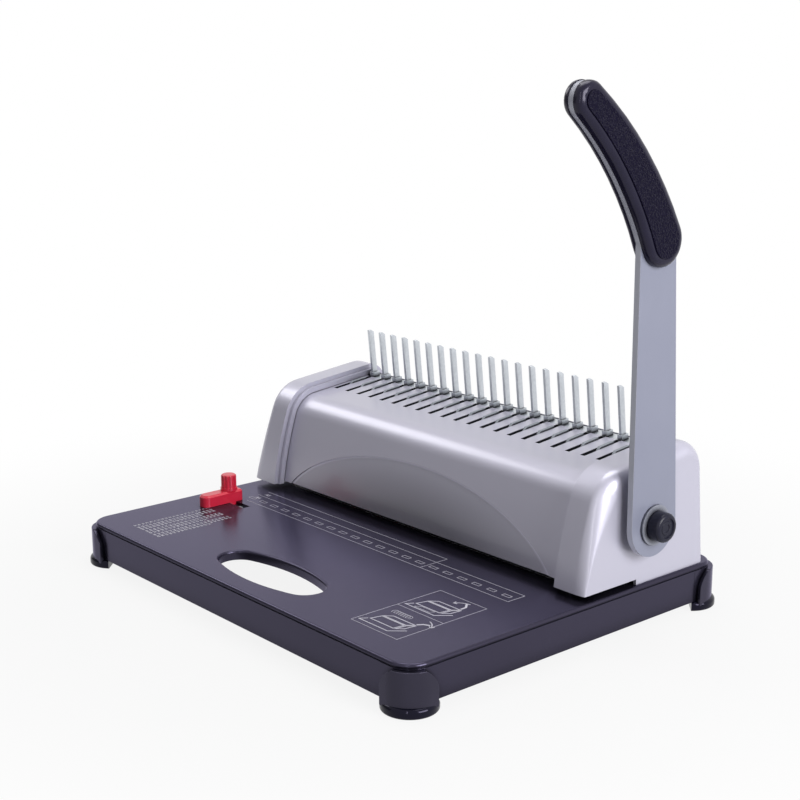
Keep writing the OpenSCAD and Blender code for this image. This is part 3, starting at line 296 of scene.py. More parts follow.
sharp.inputs[1].default_value = SHARP_OVER
weight = add(rim_weights, "ShaderNodeMath", operation="MULTIPLY")
keep = add(rim_weights, "GeometryNodeStoreNamedAttribute", data_type="FLOAT", domain="EDGE")
keep.inputs["Name"].default_value = "bevel_weight_edge"
rim_weights.links.new(spot.outputs["Position"], offset.inputs[0])
rim_weights.links.new(offset.outputs["Vector"], scaled.inputs[0])
rim_weights.links.new(scaled.outputs["Vector"], reach.inputs[0])
rim_weights.links.new(reach.outputs["Value"], near.inputs[0])
rim_weights.links.new(spot.outputs["Position"], height.inputs["Vector"])
rim_weights.links.new(height.outputs["Z"], on_top.inputs[0])
rim_weights.links.new(near.outputs["Value"], rim.inputs[0])
rim_weights.links.new(on_top.outputs["Value"], rim.inputs[1])
rim_weights.links.new(rim.outputs["Value"], more.inputs[0])
rim_weights.links.new(angle.outputs["Unsigned Angle"], sharp.inputs[0])
rim_weights.links.new(sharp.outputs["Value"], weight.inputs[0])
rim_weights.links.new(more.outputs["Value"], weight.inputs[1])
rim_weights.links.new(into.outputs["Geometry"], keep.inputs["Geometry"])
rim_weights.links.new(weight.outputs["Value"], keep.inputs["Value"])
rim_weights.links.new(keep.outputs["Geometry"], out.inputs["Geometry"])
dress("base_tray", tray_paint, edge=ROLLED, weights=rim_weights)

# Marks on the tray: one pass of pale grey screen ink, a few hundredths of a millimetre thick.
# Two bands show where sheets of two sizes lie, with a mark for each hole. A table of comb sizes and two
# drawings of the lever's use stand in front of them.
INK_FOOT = tray_high.z + 0.02 * MM
INK_TOP = tray_high.z + 0.07 * MM
ink = finish("print_ink", dark=(0.42, 0.41, 0.47), light=(0.54, 0.53, 0.59), gloss=(0.5, 0.6),
             grain=2500, mottle=160, bump=0.02)


def ribbon(mesh, points, width, loop=False):
    """A flat line of ink through points in millimetres on the tray, closed to a loop where asked for."""
    LEAST_TURN = 0.4
    line = [Vector((x * MM, y * MM)) for x, y in points]
    count = len(line)
    rows = []
    for i, p in enumerate(line):
        before = line[(i - 1) % count] if loop or i > 0 else None
        following = line[(i + 1) % count] if loop or i < count - 1 else None
        arriving = (p - before).normalized() if before else (following - p).normalized()
        leaving = (following - p).normalized() if following else arriving
        along = (arriving + leaving).normalized()
        half = Vector((-along.y, along.x)) * width * MM / 2 / max(along.dot(arriving), LEAST_TURN)
        corners = ((p + half, INK_TOP), (p - half, INK_TOP), (p - half, INK_FOOT), (p + half, INK_FOOT))
        rows.append([mesh.verts.new((*q, z)) for q, z in corners])
    pairs = list(zip(rows, rows[1:])) + ([(rows[-1], rows[0])] if loop else [])
    for a, b in pairs:
        for k in range(4):
            mesh.faces.new((a[k], a[(k + 1) % 4], b[(k + 1) % 4], b[k]))
    if not loop:
        mesh.faces.new(rows[0][::-1])
        mesh.faces.new(rows[-1])


def mesh_piece(name, mesh, material, body):
    """The finished mesh as a piece that rides on a body."""
    bmesh.ops.recalc_face_normals(mesh, faces=mesh.faces)
    data = bpy.data.meshes.new(name)
    mesh.to_mesh(data)
    mesh.free()
    piece = bpy.data.objects.new(name, data)
    bpy.context.scene.collection.objects.link(piece)
    data.materials.append(material)
    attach(piece, body)
    return piece


# The bands, as lines in millimetres; the nearest line starts a little further in
LINE = 0.33
band_left, band_right, short_right, band_start = -151.0, 147.0, 61.0, -145.0
band_far, band_mid, band_near = 0.5, -9.5, -25.0
bands = bmesh.new()
for line in ([(band_left, band_far), (short_right, band_far)],
             [(short_right, band_far), (short_right, band_near)],
             [(band_left, band_mid), (band_right, band_mid)],
             [(band_right, band_mid), (band_right, band_near)],
             [(band_start, band_near), (band_right, band_near)]):
    ribbon(bands, line, LINE)
mesh_piece("ruler_lines", bands, ink, "machine")

HOLES, PITCH, ROW_SHIFT = 21, 14.2875, -4.0
hole_l, hole_w, hole_y = 7.0, 3.0, -18.0
marks = bmesh.new()
for i in range(HOLES):
    x = ROW_SHIFT + (i - (HOLES - 1) / 2) * PITCH
    left, right = x - hole_l / 2, x + hole_l / 2
    low, high = hole_y - hole_w / 2, hole_y + hole_w / 2
    ribbon(marks, [(left, low), (right, low), (right, high), (left, high)], LINE, loop=True)
mesh_piece("hole_marks", marks, ink, "machine")


def curve_points(middle, radius, start, end, steps=10):
    """Points of an arc on the tray, by angles in degrees."""
    turns = [math.radians(start + (end - start) * k / steps) for k in range(steps + 1)]
    return [(middle[0] + radius * math.cos(a), middle[1] + radius * math.sin(a)) for a in turns]


def shifted(points, corner):
    """Points of a drawing, moved to its corner on the tray."""
    return [(x + corner[0], y + corner[1]) for x, y in points]


def arrow(mesh, middle, radius, sweep, corner, width):
    """A curved arrow; sweep is its first and last angle in degrees."""
    BARB, BARB_TURN = 3.0, 2.5
    path = curve_points(middle, radius, *sweep)
    ribbon(mesh, shifted(path, corner), width)
    tip, last = path[-1], path[-2]
    heading = math.atan2(tip[1] - last[1], tip[0] - last[0])
    for turn in (heading + BARB_TURN, heading - BARB_TURN):
        barb = (tip[0] + BARB * math.cos(turn), tip[1] + BARB * math.sin(turn))
        ribbon(mesh, shifted([tip, barb], corner), width)


# Two drawings of the machine: the lever drawn forward to punch a sheet, and pushed back to open a comb
BOLD = 0.75
panel_left, panel_right, panel_low, panel_mid, panel_high = 103.0, 147.0, -120.0, -81.5, -44.0
drawing = bmesh.new()
panel = [(panel_left, panel_low), (panel_right, panel_low),
         (panel_right, panel_high), (panel_left, panel_high)]
ribbon(drawing, panel, LINE, loop=True)
ribbon(drawing, [(panel_left + LINE, panel_mid), (panel_right - LINE, panel_mid)], LINE)
upper, lower = (panel_left, panel_mid), (panel_left, panel_low)
head_front = [(7, 10), (29, 10), (30, 18), (9, 18)]
head_end = [(30.5, 10.5), (34.5, 14.5), (35.5, 22.5), (31.5, 18.5)]
head_top = [(9.5, 19), (30.5, 19), (34.5, 23.3), (14, 23.3)]
tray_edge = [(5.8, 9.2), (2.5, 4.5), (30, 4.5), (38, 13.5)]
lever_forward = [(33.5, 24.5), (33.5, 29), (29.5, 33.5)]
lever_back = [(34.5, 24.5), (37, 28), (41, 30)]
pivot, swing = (33, 22), 12.5
for corner, lever, sweep in ((upper, lever_forward, (95, 150)), (lower, lever_back, (75, 25))):
    for face in (head_front, head_end, head_top):
        ribbon(drawing, shifted(face, corner), BOLD, loop=True)
    ribbon(drawing, shifted(tray_edge, corner), BOLD)
    ribbon(drawing, shifted(lever, corner), 2 * BOLD)
    arrow(drawing, pivot, swing, sweep, corner, BOLD)
sheet = [(11, 7.2), (14, 9), (26, 9), (24, 5.8), (10, 5.8)]
ribbon(drawing, shifted(sheet, upper), LINE, loop=True)
RINGS, RING_STEP, RING_R, ring_start = 7, 2.2, 2.4, (9, 29)
for k in range(RINGS):
    ring_middle = (ring_start[0] + RING_STEP * k, ring_start[1])
    ring = curve_points(ring_middle, RING_R, start=-60, end=240, steps=9)
    ribbon(drawing, shifted(ring, lower), LINE)
mesh_piece("lever_drawings", drawing, ink, "machine")


def letters(name, lines, height):
    """Plain characters on the tray; each line is (text, x, y) in millimetres, y at the characters' foot."""
    INK_SPREAD = 0.05 * MM
    whole = bmesh.new()
    for text, x, y in lines:
        words = bpy.data.curves.new(name, "FONT")
        words.body = text
        words.size = height * MM
        words.extrude = (INK_TOP - INK_FOOT) / 2
        words.offset = INK_SPREAD
        words.resolution_u = 2
        holder = bpy.data.objects.new(name, words)
        bpy.context.scene.collection.objects.link(holder)
        bpy.context.view_layer.update()
        shaped = holder.evaluated_get(bpy.context.evaluated_depsgraph_get())
        data = bpy.data.meshes.new_from_object(shaped)
        bpy.data.objects.remove(holder)
        for v in data.vertices:
            v.co += Vector((x * MM, y * MM, (INK_TOP + INK_FOOT) / 2))
        whole.from_mesh(data)
        bpy.data.meshes.remove(data)
    return mesh_piece(name, whole, ink, "machine")


# A table of comb widths in millimetres and how many sheets each one holds, for three kinds of paper
COMB_WIDTHS = (5, 6, 8, 10, 12, 14, 16, 18, 20, 22, 25, 28, 30, 32, 35, 38, 42, 45, 48, 51)
SHEETS_PER_MM, COMB_WALLS, SHEET_STEP = (12.5, 10.5, 8.5), 3, 5
table_left, table_top, row_step, column_start, column_step = -149.0, -58.0, 3.4, 5, 11.0
rows = []
for k, width in enumerate(COMB_WIDTHS):
    y = table_top - (k + 1) * row_step
    rows.append((str(width), table_left, y))
    for c, share in enumerate(SHEETS_PER_MM):
        steps = max(1, int((width - COMB_WALLS) * share / SHEET_STEP))
        most = steps * SHEET_STEP
        rows.append((f"{most - SHEET_STEP + 1}-{most}", table_left + column_start + c * column_step, y))
letters("comb_size_table", rows, height=2.7)
letters("sheet_size_marks", [("A5", -147, -6.5), ("A4", -147, -16.0)], height=4.5)

# Feet: four corner guards moulded in hard black rubber, each with an arched outline, proud of the tray's
# corner. A post inside the pan holds the screw, and the outer half of a glossy disc takes the weight.
# The guards are darkened in their hollows and where they meet the tray: painted shade
foot_rubber = finish(
    "foot_rubber", dark=(0.027, 0.025, 0.038), light=(0.034, 0.032, 0.048), gloss=(0.20, 0.28), metallic=0.5,
    grain=1600, mottle=60, bump=0.05, wear=(0.06, 0.06, 0.07), wear_amount=0.2, hollow_shade_colour=(0.002, 0.002, 0.004),
    sockets={"Specular IOR Level": 0.4, "Specular Tint": (0.74, 0.69, 1.0, 1.0)})
sole_rubber = finish(
    "sole_rubber", dark=(0.002, 0.002, 0.006), light=(0.003, 0.003, 0.009), gloss=(0.06, 0.10),
    grain=1600, mottle=60, bump=0.02,
    sockets={"Specular IOR Level": 0.22, "Specular Tint": (0.74, 0.69, 1.0, 1.0)})
CORNER_R, FOOT_INSET, SUNK = 16 * MM, 13.5 * MM, -0.5 * MM
GUARD_LOW, GUARD_TOP, GUARD_PROUD, GUARD_EDGE = 4 * MM, 28.9 * MM, 3.4 * MM, 0.7 * MM
GUARD_WIDE, GUARD_NARROW, GUARD_SPRING = 18.6 * MM, 9.6 * MM, 0.44
PAN_HALF, PAN_TOP, PAN_PROUD = 21.6 * MM, 29.4 * MM, 0.1 * MM
POST_R, POST_LOW, POST_TOP = 11 * MM, 7 * MM, 28 * MM
WELL_R, WELL_TOP, HOLE_R = 5 * MM, 10 * MM, 2.2 * MM
SOLE_R, SOLE_BORE, SOLE_LOW, SOLE_TOP = 18.2 * MM, 0.5 * MM, 0.0, 6.6 * MM
LOW_ROUND, TOP_ROUND, ROUND_STEPS = 1.6 * MM, 2.8 * MM, 6


def corner_point(side, along, proud, height):
    """A point round a tray corner: along its outline from the corner's middle, proud of it, at a height."""
    turn = max(-math.pi / 4, min(math.pi / 4, along / CORNER_R))
    straight = along - turn * CORNER_R
    outward = math.cos(turn) * (CORNER_R + proud) - math.sin(turn) * straight
    sideways = math.sin(turn) * (CORNER_R + proud) + math.cos(turn) * straight
    diagonal = Vector((side[0], side[1])) / math.sqrt(2)
    across = Vector((-side[1], side[0])) / math.sqrt(2)
    middle = Vector((side[0] * (tray_high.x - CORNER_R), side[1] * (tray_high.y - CORNER_R)))
    return (*(middle + diagonal * outward + across * sideways), height)


def corner_shell(mesh, side, half_width, low, high, front):
    """A closed shell round a tray corner, sunk in its wall at the back, between two heights.

    half_width gives half the shell's width at a share of the way up.
    """
    COLUMNS, ROWS = 28, 18
    faces = []
    for proud in (SUNK, front):
        faces.append([])
        for j in range(ROWS + 1):
            share = j / ROWS
            reach = half_width(share)
            row = [corner_point(side, (2 * i / COLUMNS - 1) * reach, proud, low + share * (high - low))
                   for i in range(COLUMNS + 1)]
            faces[-1].append([mesh.verts.new(point) for point in row])
    inner, outer = faces
    for grid in faces:
        for lower, upper in zip(grid, grid[1:]):
            for i in range(COLUMNS):
                mesh.faces.new((lower[i], lower[i + 1], upper[i + 1], upper[i]))
    for j in (0, ROWS):
        for i in range(COLUMNS):
            mesh.faces.new((inner[j][i], inner[j][i + 1], outer[j][i + 1], outer[j][i]))
    for i in (0, COLUMNS):
        for j in range(ROWS):
            mesh.faces.new((inner[j][i], inner[j + 1][i], outer[j + 1][i], outer[j][i]))


def arched(share):
    """Half the width of a guard: upright sides that draw in towards the top."""
    drawn_in = max(0.0, share - GUARD_SPRING) / (1 - GUARD_SPRING)
    return GUARD_WIDE - (GUARD_WIDE - GUARD_NARROW) * drawn_in ** 2


def turned(mesh, side, outline, start, end, steps):
    """A solid turned about the middle of a foot, from an outline of radius and height.

    It runs between two angles, in degrees from the corner's diagonal.
    """
    x, y = side[0] * (tray_high.x - FOOT_INSET), side[1] * (tray_high.y - FOOT_INSET)
    diagonal = math.atan2(side[1], side[0])
    full = end - start == 360
    angles = [diagonal + math.radians(start + (end - start) * k / steps) for k in range(steps + (not full))]
    rows = [[mesh.verts.new((x + r * math.cos(a), y + r * math.sin(a), z)) for r, z in outline]
            for a in angles]
    count = len(outline)
    for one, following in zip(rows, rows[1:] + (rows[:1] if full else [])):
        for k in range(count):
            after = (k + 1) % count
            mesh.faces.new((one[k], following[k], following[after], one[after]))
    if not full:
        mesh.faces.new(rows[0])
        mesh.faces.new(rows[-1][::-1])


post_outline = [(WELL_R, POST_LOW), (POST_R, POST_LOW), (POST_R, POST_TOP), (HOLE_R, POST_TOP),
                (HOLE_R, WELL_TOP), (WELL_R, WELL_TOP)]
# The sole is flat below, with a small round under a large one at its edge
quarter = [math.radians(90 * k / ROUND_STEPS) for k in range(ROUND_STEPS + 1)]
below = [(SOLE_R - LOW_ROUND * (1 - math.sin(a)), SOLE_LOW + LOW_ROUND * (1 - math.cos(a))) for a in quarter]
above = [(SOLE_R - TOP_ROUND * (1 - math.cos(a)), SOLE_TOP - TOP_ROUND * (1 - math.sin(a))) for a in quarter]
sole_outline = [(SOLE_BORE, SOLE_LOW), *below, *above, (SOLE_BORE, SOLE_TOP)]
corners = {"front_left": (-1, -1), "front_right": (1, -1), "rear_left": (-1, 1), "rear_right": (1, 1)}
pan_corners = bmesh.new()
for corner, side in corners.items():
    guard = bmesh.new()
    corner_shell(guard, side, arched, GUARD_LOW, GUARD_TOP, GUARD_PROUD)
    turned(guard, side, post_outline, start=0, end=360, steps=48)
    guard = mesh_piece(corner + "_guard", guard, foot_rubber, "machine")
    round_off(guard, edge=GUARD_EDGE)
    sole = bmesh.new()
    turned(sole, side, sole_outline, start=-90, end=90, steps=40)
    sole = mesh_piece(corner + "_sole", sole, sole_rubber, "machine")
    round_off(sole)
    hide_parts(corner + "_foot")
    corner_shell(pan_corners, side, lambda share: PAN_HALF, tray_low.z, PAN_TOP, PAN_PROUD)
# The pan's own wall runs on round each corner behind the guard
pan_corners = mesh_piece("pan_corners", pan_corners, tray_paint, "machine")
round_off(pan_corners)

# Steel inside the head: side frames, tie rods, die set, punches, racks, pinions and shaft.
# They are ground or drawn steel, lightly oiled, grey with a fine grain from the tools that cut them.
plain_steel = finish(
    "plain_steel", dark=(0.36, 0.37, 0.39), light=(0.47, 0.48, 0.50), gloss=(0.26, 0.42), metallic=1.0,
    grain=2200, mottle=70, bump=0.04, wear=(0.62, 0.63, 0.65), wear_amount=0.8)
for node in ("left_side_frame", "right_side_frame", "tie_rods", "tie_nuts", "die_block", "paper_stop",
             "punch_guide", "torque_tube", "left_punch_pinion", "right_punch_pinion", "main_shaft",
             "drive_pins", "shaft_collar", "lever_spacer", "left_opener_pinion", "right_opener_pinion",
             "opener_plate", "left_opener_arm", "right_opener_arm", "punch_bar", "punches",
             "left_punch_rack", "right_punch_rack", "guide_clamp", "drawer_runners"):
    dress(node, plain_steel, edge=0.2 * MM)

# Screws: bright zinc-plated steel, with pan heads at the feet, the caps and the side frames.
# Those of the die set and the grip have plain round heads, sunk in the punch guide and the inner shell.
zinc = finish(
    "bright_zinc", dark=(0.60, 0.62, 0.66), light=(0.74, 0.76, 0.80), gloss=(0.20, 0.34), metallic=1.0,
    grain=1800, mottle=220, bump=0.05, wear=(0.85, 0.86, 0.88), wear_amount=0.6)
for node in ("foot_screws", "cap_screws", "frame_screws", "die_screws", "grip_screws"):
    dress(node, zinc, edge=0.15 * MM)

# Bushes: two flanged rings of sintered bronze that carry the lever's shaft.
# They are pressed into the side frames, brown and matt apart from their rubbed edges.
bronze = finish(
    "bush_bronze", dark=(0.33, 0.21, 0.09), light=(0.45, 0.30, 0.14), gloss=(0.35, 0.5), metallic=1.0,
    grain=3000, mottle=90, bump=0.12, wear=(0.6, 0.45, 0.25), wear_amount=0.5)
for node in ("left_shaft_bush", "right_shaft_bush"):
    dress(node, bronze, edge=0.2 * MM)

# Comb row: flat fingers, each with a small block at its foot, on a steel angle across the side frames.
# In front of them the opener's hooks stand in the cover's slots. All are cut from steel sheet and
# zinc-plated with a crystal mottle, the row pale and a little blue, the hooks duller.
# The row and the hooks are darkened in their hollows, most at the fingers' feet: painted shade
row_zinc = finish(
    "comb_row_zinc", dark=(0.47, 0.50, 0.54), light=(0.67, 0.70, 0.74), gloss=(0.24, 0.40), metallic=0.85,
    grain=1500, mottle=420, bump=0.06, wear=(0.62, 0.64, 0.66), wear_amount=0.5, hollow_shade_colour=(0.03, 0.03, 0.035))
for node in ("finger_rail", "comb_fingers"):
    dress(node, row_zinc, edge=0.25 * MM)
hook_zinc = finish(
    "hook_zinc", dark=(0.20, 0.22, 0.25), light=(0.30, 0.32, 0.35), gloss=(0.50, 0.65), metallic=0.5,
    grain=1500, mottle=420, bump=0.06, wear=(0.4, 0.42, 0.45), wear_amount=0.1, hollow_shade_colour=(0.03, 0.03, 0.035))
dress("opener_hooks", hook_zinc, edge=0.25 * MM)

# Covers: the long front shell, the rear shell and the two end caps, moulded in plastic and sprayed silver.
# The paint is satin with a fine metal flake. An oval field on the front is pressed back by less than a
# millimetre; painted shade darkens it towards its middle, and a painted highlight lies on the step round it.


def silver_finish(name, hollow_shade_open):
    """The covers' paint: satin silver under a thin clear coat, with painted shade in its hollows."""
    return finish(
        name, dark=(0.43, 0.42, 0.51), light=(0.48, 0.47, 0.56), gloss=(0.36, 0.42), metallic=0.35,
        grain=3200, mottle=6, bump=0.03, wear=(0.62, 0.62, 0.68), wear_amount=0.4,
        hollow_shade_colour=(0.14, 0.14, 0.17), hollow_shade_open=hollow_shade_open,
        sockets={"Coat Weight": 0.5, "Coat Roughness": 0.16})


def base_colour(material):
    """The socket that feeds the base colour of a material."""
    return shader_of(material).inputs["Base Color"].links[0].from_socket


silver = silver_finish("silver_paint", hollow_shade_open=0.68)
shaded_field_silver = silver_finish("silver_paint_with_shaded_field", hollow_shade_open=0.50)
FIELD_HALF, FIELD_SUNK, FIELD_HIGH, FIELD_REAR = 153 * MM, 18 * MM, 68 * MM, 42 * MM
# Painted shade deepens towards the field's middle; a painted highlight lies along the step at its edge
FIELD_MIDDLE, MIDDLE_SHADE, EDGE_SHADE = 0.50, 0.38, 0.90
STEP_START, STEP_END, STEP_HIGHLIGHT = 0.975, 0.995, 0.6
tree = shaded_field_silver.node_tree
place = add(tree, "ShaderNodeTexCoord")
apart = add(tree, "ShaderNodeSeparateXYZ")
across = add(tree, "ShaderNodeMath", operation="DIVIDE")
across.inputs[1].default_value = FIELD_HALF
upward = add(tree, "ShaderNodeMath", operation="SUBTRACT")
upward.inputs[1].default_value = tray_high.z - FIELD_SUNK
upright = add(tree, "ShaderNodeMath", operation="DIVIDE")
upright.inputs[1].default_value = FIELD_HIGH
oval = add(tree, "ShaderNodeCombineXYZ")
size = add(tree, "ShaderNodeVectorMath", operation="LENGTH")
within = add(tree, "ShaderNodeMath", operation="LESS_THAN")
within.inputs[1].default_value = 1.0
ahead = add(tree, "ShaderNodeMath", operation="LESS_THAN")
ahead.inputs[1].default_value = FIELD_REAR
both = add(tree, "ShaderNodeMath", operation="MULTIPLY")
field_shade = add(tree, "ShaderNodeMapRange")
field_shade.inputs["From Min"].default_value = FIELD_MIDDLE
field_shade.inputs["To Min"].default_value = MIDDLE_SHADE
field_shade.inputs["To Max"].default_value = EDGE_SHADE
step_highlight = add(tree, "ShaderNodeMapRange")
step_highlight.inputs["From Min"].default_value = STEP_START
step_highlight.inputs["From Max"].default_value = STEP_END
step_highlight.inputs["To Max"].default_value = STEP_HIGHLIGHT
tone = add(tree, "ShaderNodeMath", operation="ADD")
toned = add(tree, "ShaderNodeMix", data_type="RGBA", blend_type="MULTIPLY")
tree.links.new(place.outputs["Object"], apart.inputs["Vector"])
tree.links.new(apart.outputs["X"], across.inputs[0])
tree.links.new(apart.outputs["Z"], upward.inputs[0])
tree.links.new(upward.outputs["Value"], upright.inputs[0])
tree.links.new(across.outputs["Value"], oval.inputs["X"])
tree.links.new(upright.outputs["Value"], oval.inputs["Y"])
tree.links.new(oval.outputs["Vector"], size.inputs[0])
tree.links.new(size.outputs["Value"], within.inputs[0])
tree.links.new(apart.outputs["Y"], ahead.inputs[0])
tree.links.new(within.outputs["Value"], both.inputs[0])
tree.links.new(ahead.outputs["Value"], both.inputs[1])
tree.links.new(both.outputs["Value"], toned.inputs["Factor"])
tree.links.new(size.outputs["Value"], field_shade.inputs["Value"])
tree.links.new(size.outputs["Value"], step_highlight.inputs["Value"])
tree.links.new(field_shade.outputs["Result"], tone.inputs[0])
tree.links.new(step_highlight.outputs["Result"], tone.inputs[1])
tree.links.new(tone.outputs["Value"], toned.inputs["B"])
tree.links.new(base_colour(shaded_field_silver), toned.inputs["A"])

# Facing sideways: how far a face looks along the machine's length
facing_sideways, into, out = shader_group("Facing sideways", {}, ["Share"])
place = add(facing_sideways, "ShaderNodeTexCoord")
facing = add(facing_sideways, "ShaderNodeSeparateXYZ")
sideways = add(facing_sideways, "ShaderNodeMath", operation="ABSOLUTE")
facing_sideways.links.new(place.outputs["Normal"], facing.inputs["Vector"])
facing_sideways.links.new(facing.outputs["X"], sideways.inputs[0])
facing_sideways.links.new(sideways.outputs["Value"], out.inputs["Share"])

# The sides of the comb slots, and any face of the shell that looks along its length, are painted near black:
# painted shade inside the slots
SLOT_SHADE = (0.008, 0.008, 0.012)
cut_side = add(tree, "ShaderNodeMath", operation="GREATER_THAN")
cut_side.inputs[1].default_value = 0.5
tree.links.new(place_group(shaded_field_silver, facing_sideways).outputs["Share"], cut_side.inputs[0])
shaded_slot_sides = overlay(tree, toned.outputs["Result"], cut_side.outputs["Value"], SLOT_SHADE)
tree.links.new(shaded_slot_sides, shader_of(shaded_field_silver).inputs["Base Color"])
dress("main_cover", shaded_field_silver, edge=0.3 * MM)
dress("rear_cover", silver, edge=0.3 * MM)
for node in ("left_end_cap", "right_end_cap"):
    dress(node, silver, edge=0.6 * MM)

# Lever: one flat steel bar, rounded at the shaft and bent over in the grip, painted a cool mid grey.
# A thin plated washer and a black ringed knob hold it on the shaft's end.
lever_paint = finish(
    "lever_paint", dark=(0.19, 0.20, 0.27), light=(0.23, 0.24, 0.31), gloss=(0.30, 0.38), metallic=0.1,
    grain=1500, mottle=14, bump=0.05, wear=(0.6, 0.6, 0.63), wear_amount=0.7)
# The bar's narrow edges are painted paler: painted light on the faces that the lamps leave dim
EDGE_LIGHT = (0.42, 0.43, 0.50)
tree = lever_paint.node_tree
edge_face = add(tree, "ShaderNodeMath", operation="LESS_THAN")
edge_face.inputs[1].default_value = 0.5
tree.links.new(place_group(lever_paint, facing_sideways).outputs["Share"], edge_face.inputs[0])
edge_lit_paint = overlay(tree, base_colour(lever_paint), edge_face.outputs["Value"], EDGE_LIGHT)
tree.links.new(edge_lit_paint, shader_of(lever_paint).inputs["Base Color"])
dress("lever_bar", lever_paint, edge=0.5 * MM)
# The washer is darkened in its hollows and by the pieces round it: painted shade
dull_zinc = finish(
    "washer_zinc", dark=(0.22, 0.23, 0.28), light=(0.32, 0.33, 0.38), gloss=(0.34, 0.48), metallic=0.5,
    grain=1800, mottle=260, bump=0.06, wear=(0.5, 0.5, 0.54), wear_amount=0.6, hollow_shade_colour=(0.03, 0.03, 0.045))
dress("lever_washer", dull_zinc, edge=0.2 * MM)
knob_black = finish(
    "knob_black", dark=(0.007, 0.007, 0.017), light=(0.013, 0.013, 0.026), gloss=(0.24, 0.34),
    grain=1400, mottle=80, bump=0.06, wear=(0.07, 0.07, 0.08), wear_amount=0.6,
    sockets={"Specular IOR Level": 0.2})
dress("lever_knob", knob_black)

# Grip: two shells of glossy black plastic, screwed together through the bar, with a pad let into the outer
# one. The pad is moulded with a leather grain, so it looks duller than the rim around it.
gloss_black = finish(
    "gloss_black", dark=(0.005, 0.004, 0.014), light=(0.009, 0.008, 0.022), gloss=(0.14, 0.22),
    grain=500, mottle=50, bump=0.03, wear=(0.05, 0.05, 0.07), wear_amount=0.2,
    sockets={"Specular IOR Level": 0.3, "Specular Tint": (0.86, 0.82, 1.0, 1.0)})
for node in ("grip_outer_shell", "grip_inner_shell"):
    dress(node, gloss_black)
grained = finish(
    "grained_black", dark=(0.003, 0.002, 0.009), light=(0.007, 0.006, 0.018), gloss=(0.20, 0.30),
    grain=900, mottle=520, bump=0.02,
    sockets={"Specular IOR Level": 0.05, "Specular Tint": (0.86, 0.82, 1.0, 1.0)})
CELLS_PER_M, CREASE_DEPTH = 780.0, 0.7 * MM
tree = grained.node_tree
place = add(tree, "ShaderNodeTexCoord")
cells = add(tree, "ShaderNodeTexVoronoi", feature="SMOOTH_F1")
cells.inputs["Scale"].default_value = CELLS_PER_M
crease = add(tree, "ShaderNodeBump")
crease.inputs["Strength"].default_value = 0.9
crease.inputs["Distance"].default_value = CREASE_DEPTH
tree.links.new(place.outputs["Object"], cells.inputs["Vector"])
tree.links.new(cells.outputs["Distance"], crease.inputs["Height"])
tree.links.new(crease.outputs["Normal"], shader_of(grained).inputs["Normal"])
dress("grip_pad", grained, edge=0.3 * MM)

# Edge guide: a block moulded in red plastic, which slides in the tray's slot and stops the sheet's edge.
# A fluted knob of the same plastic sits on its top, with its stud through a clamp plate under the tray.
red = finish(
    "red_plastic", dark=(0.54, 0.010, 0.035), light=(0.66, 0.016, 0.050), gloss=(0.24, 0.34),
    grain=900, mottle=60, bump=0.05, wear=(0.75, 0.14, 0.16), wear_amount=0.5,
    sockets={"Coat Weight": 0.2, "Coat Roughness": 0.15})
for node in ("guide_block", "guide_knob"):
    dress(node, red)

# Chip drawer: an open tray moulded in matt black plastic, under the die, that catches the punched chips.
# It runs on the ledges of two angles under the tray and is drawn out to the left to empty it.
drawer_black = finish(
    "drawer_black", dark=(0.010, 0.009, 0.018), light=(0.018, 0.017, 0.028), gloss=(0.45, 0.6),
    grain=1100, mottle=50, bump=0.1, wear=(0.06, 0.06, 0.06), wear_amount=0.5)
dress("chip_drawer", drawer_black, edge=0.3 * MM)

# Studio: a white floor that runs into a white surround, four soft lamps and a half-lit grey screen.
# Floor and surround are white to the camera and in reflections, but light the object less than that.
WHITE, FLOOR_GREY = (1.0, 1.0, 1.0, 1.0), (0.50, 0.50, 0.50, 1.0)
FLOOR_HALF, SHADOW_START, SHADOW_END, SHADOW_LEAST = 6.0, 0.18, 0.55, 0.88
SURROUND_LIGHT = 0.12


def flat_sheet(name, half, segments):
    """A level square sheet of the stage, to be placed and given a material."""
    mesh = bmesh.new()
    bmesh.ops.create_grid(mesh, x_segments=segments, y_segments=segments, size=half)
    data = bpy.data.meshes.new(name)
    mesh.to_mesh(data)
    mesh.free()
    made = bpy.data.objects.new(name, data)
    bpy.context.scene.collection.objects.link(made)
    return made


def seen_ray(tree):
    """The socket that is 1 for rays from the camera, a reflection or clear material, and else 0."""
    ray = add(tree, "ShaderNodeLightPath")
    seen = add(tree, "ShaderNodeMath", operation="MAXIMUM")
    seen_too = add(tree, "ShaderNodeMath", operation="MAXIMUM")
    tree.links.new(ray.outputs["Is Camera Ray"], seen.inputs[0])
    tree.links.new(ray.outputs["Is Glossy Ray"], seen.inputs[1])
    tree.links.new(seen.outputs["Value"], seen_too.inputs[0])
    tree.links.new(ray.outputs["Is Transmission Ray"], seen_too.inputs[1])
    return seen_too.outputs["Value"]


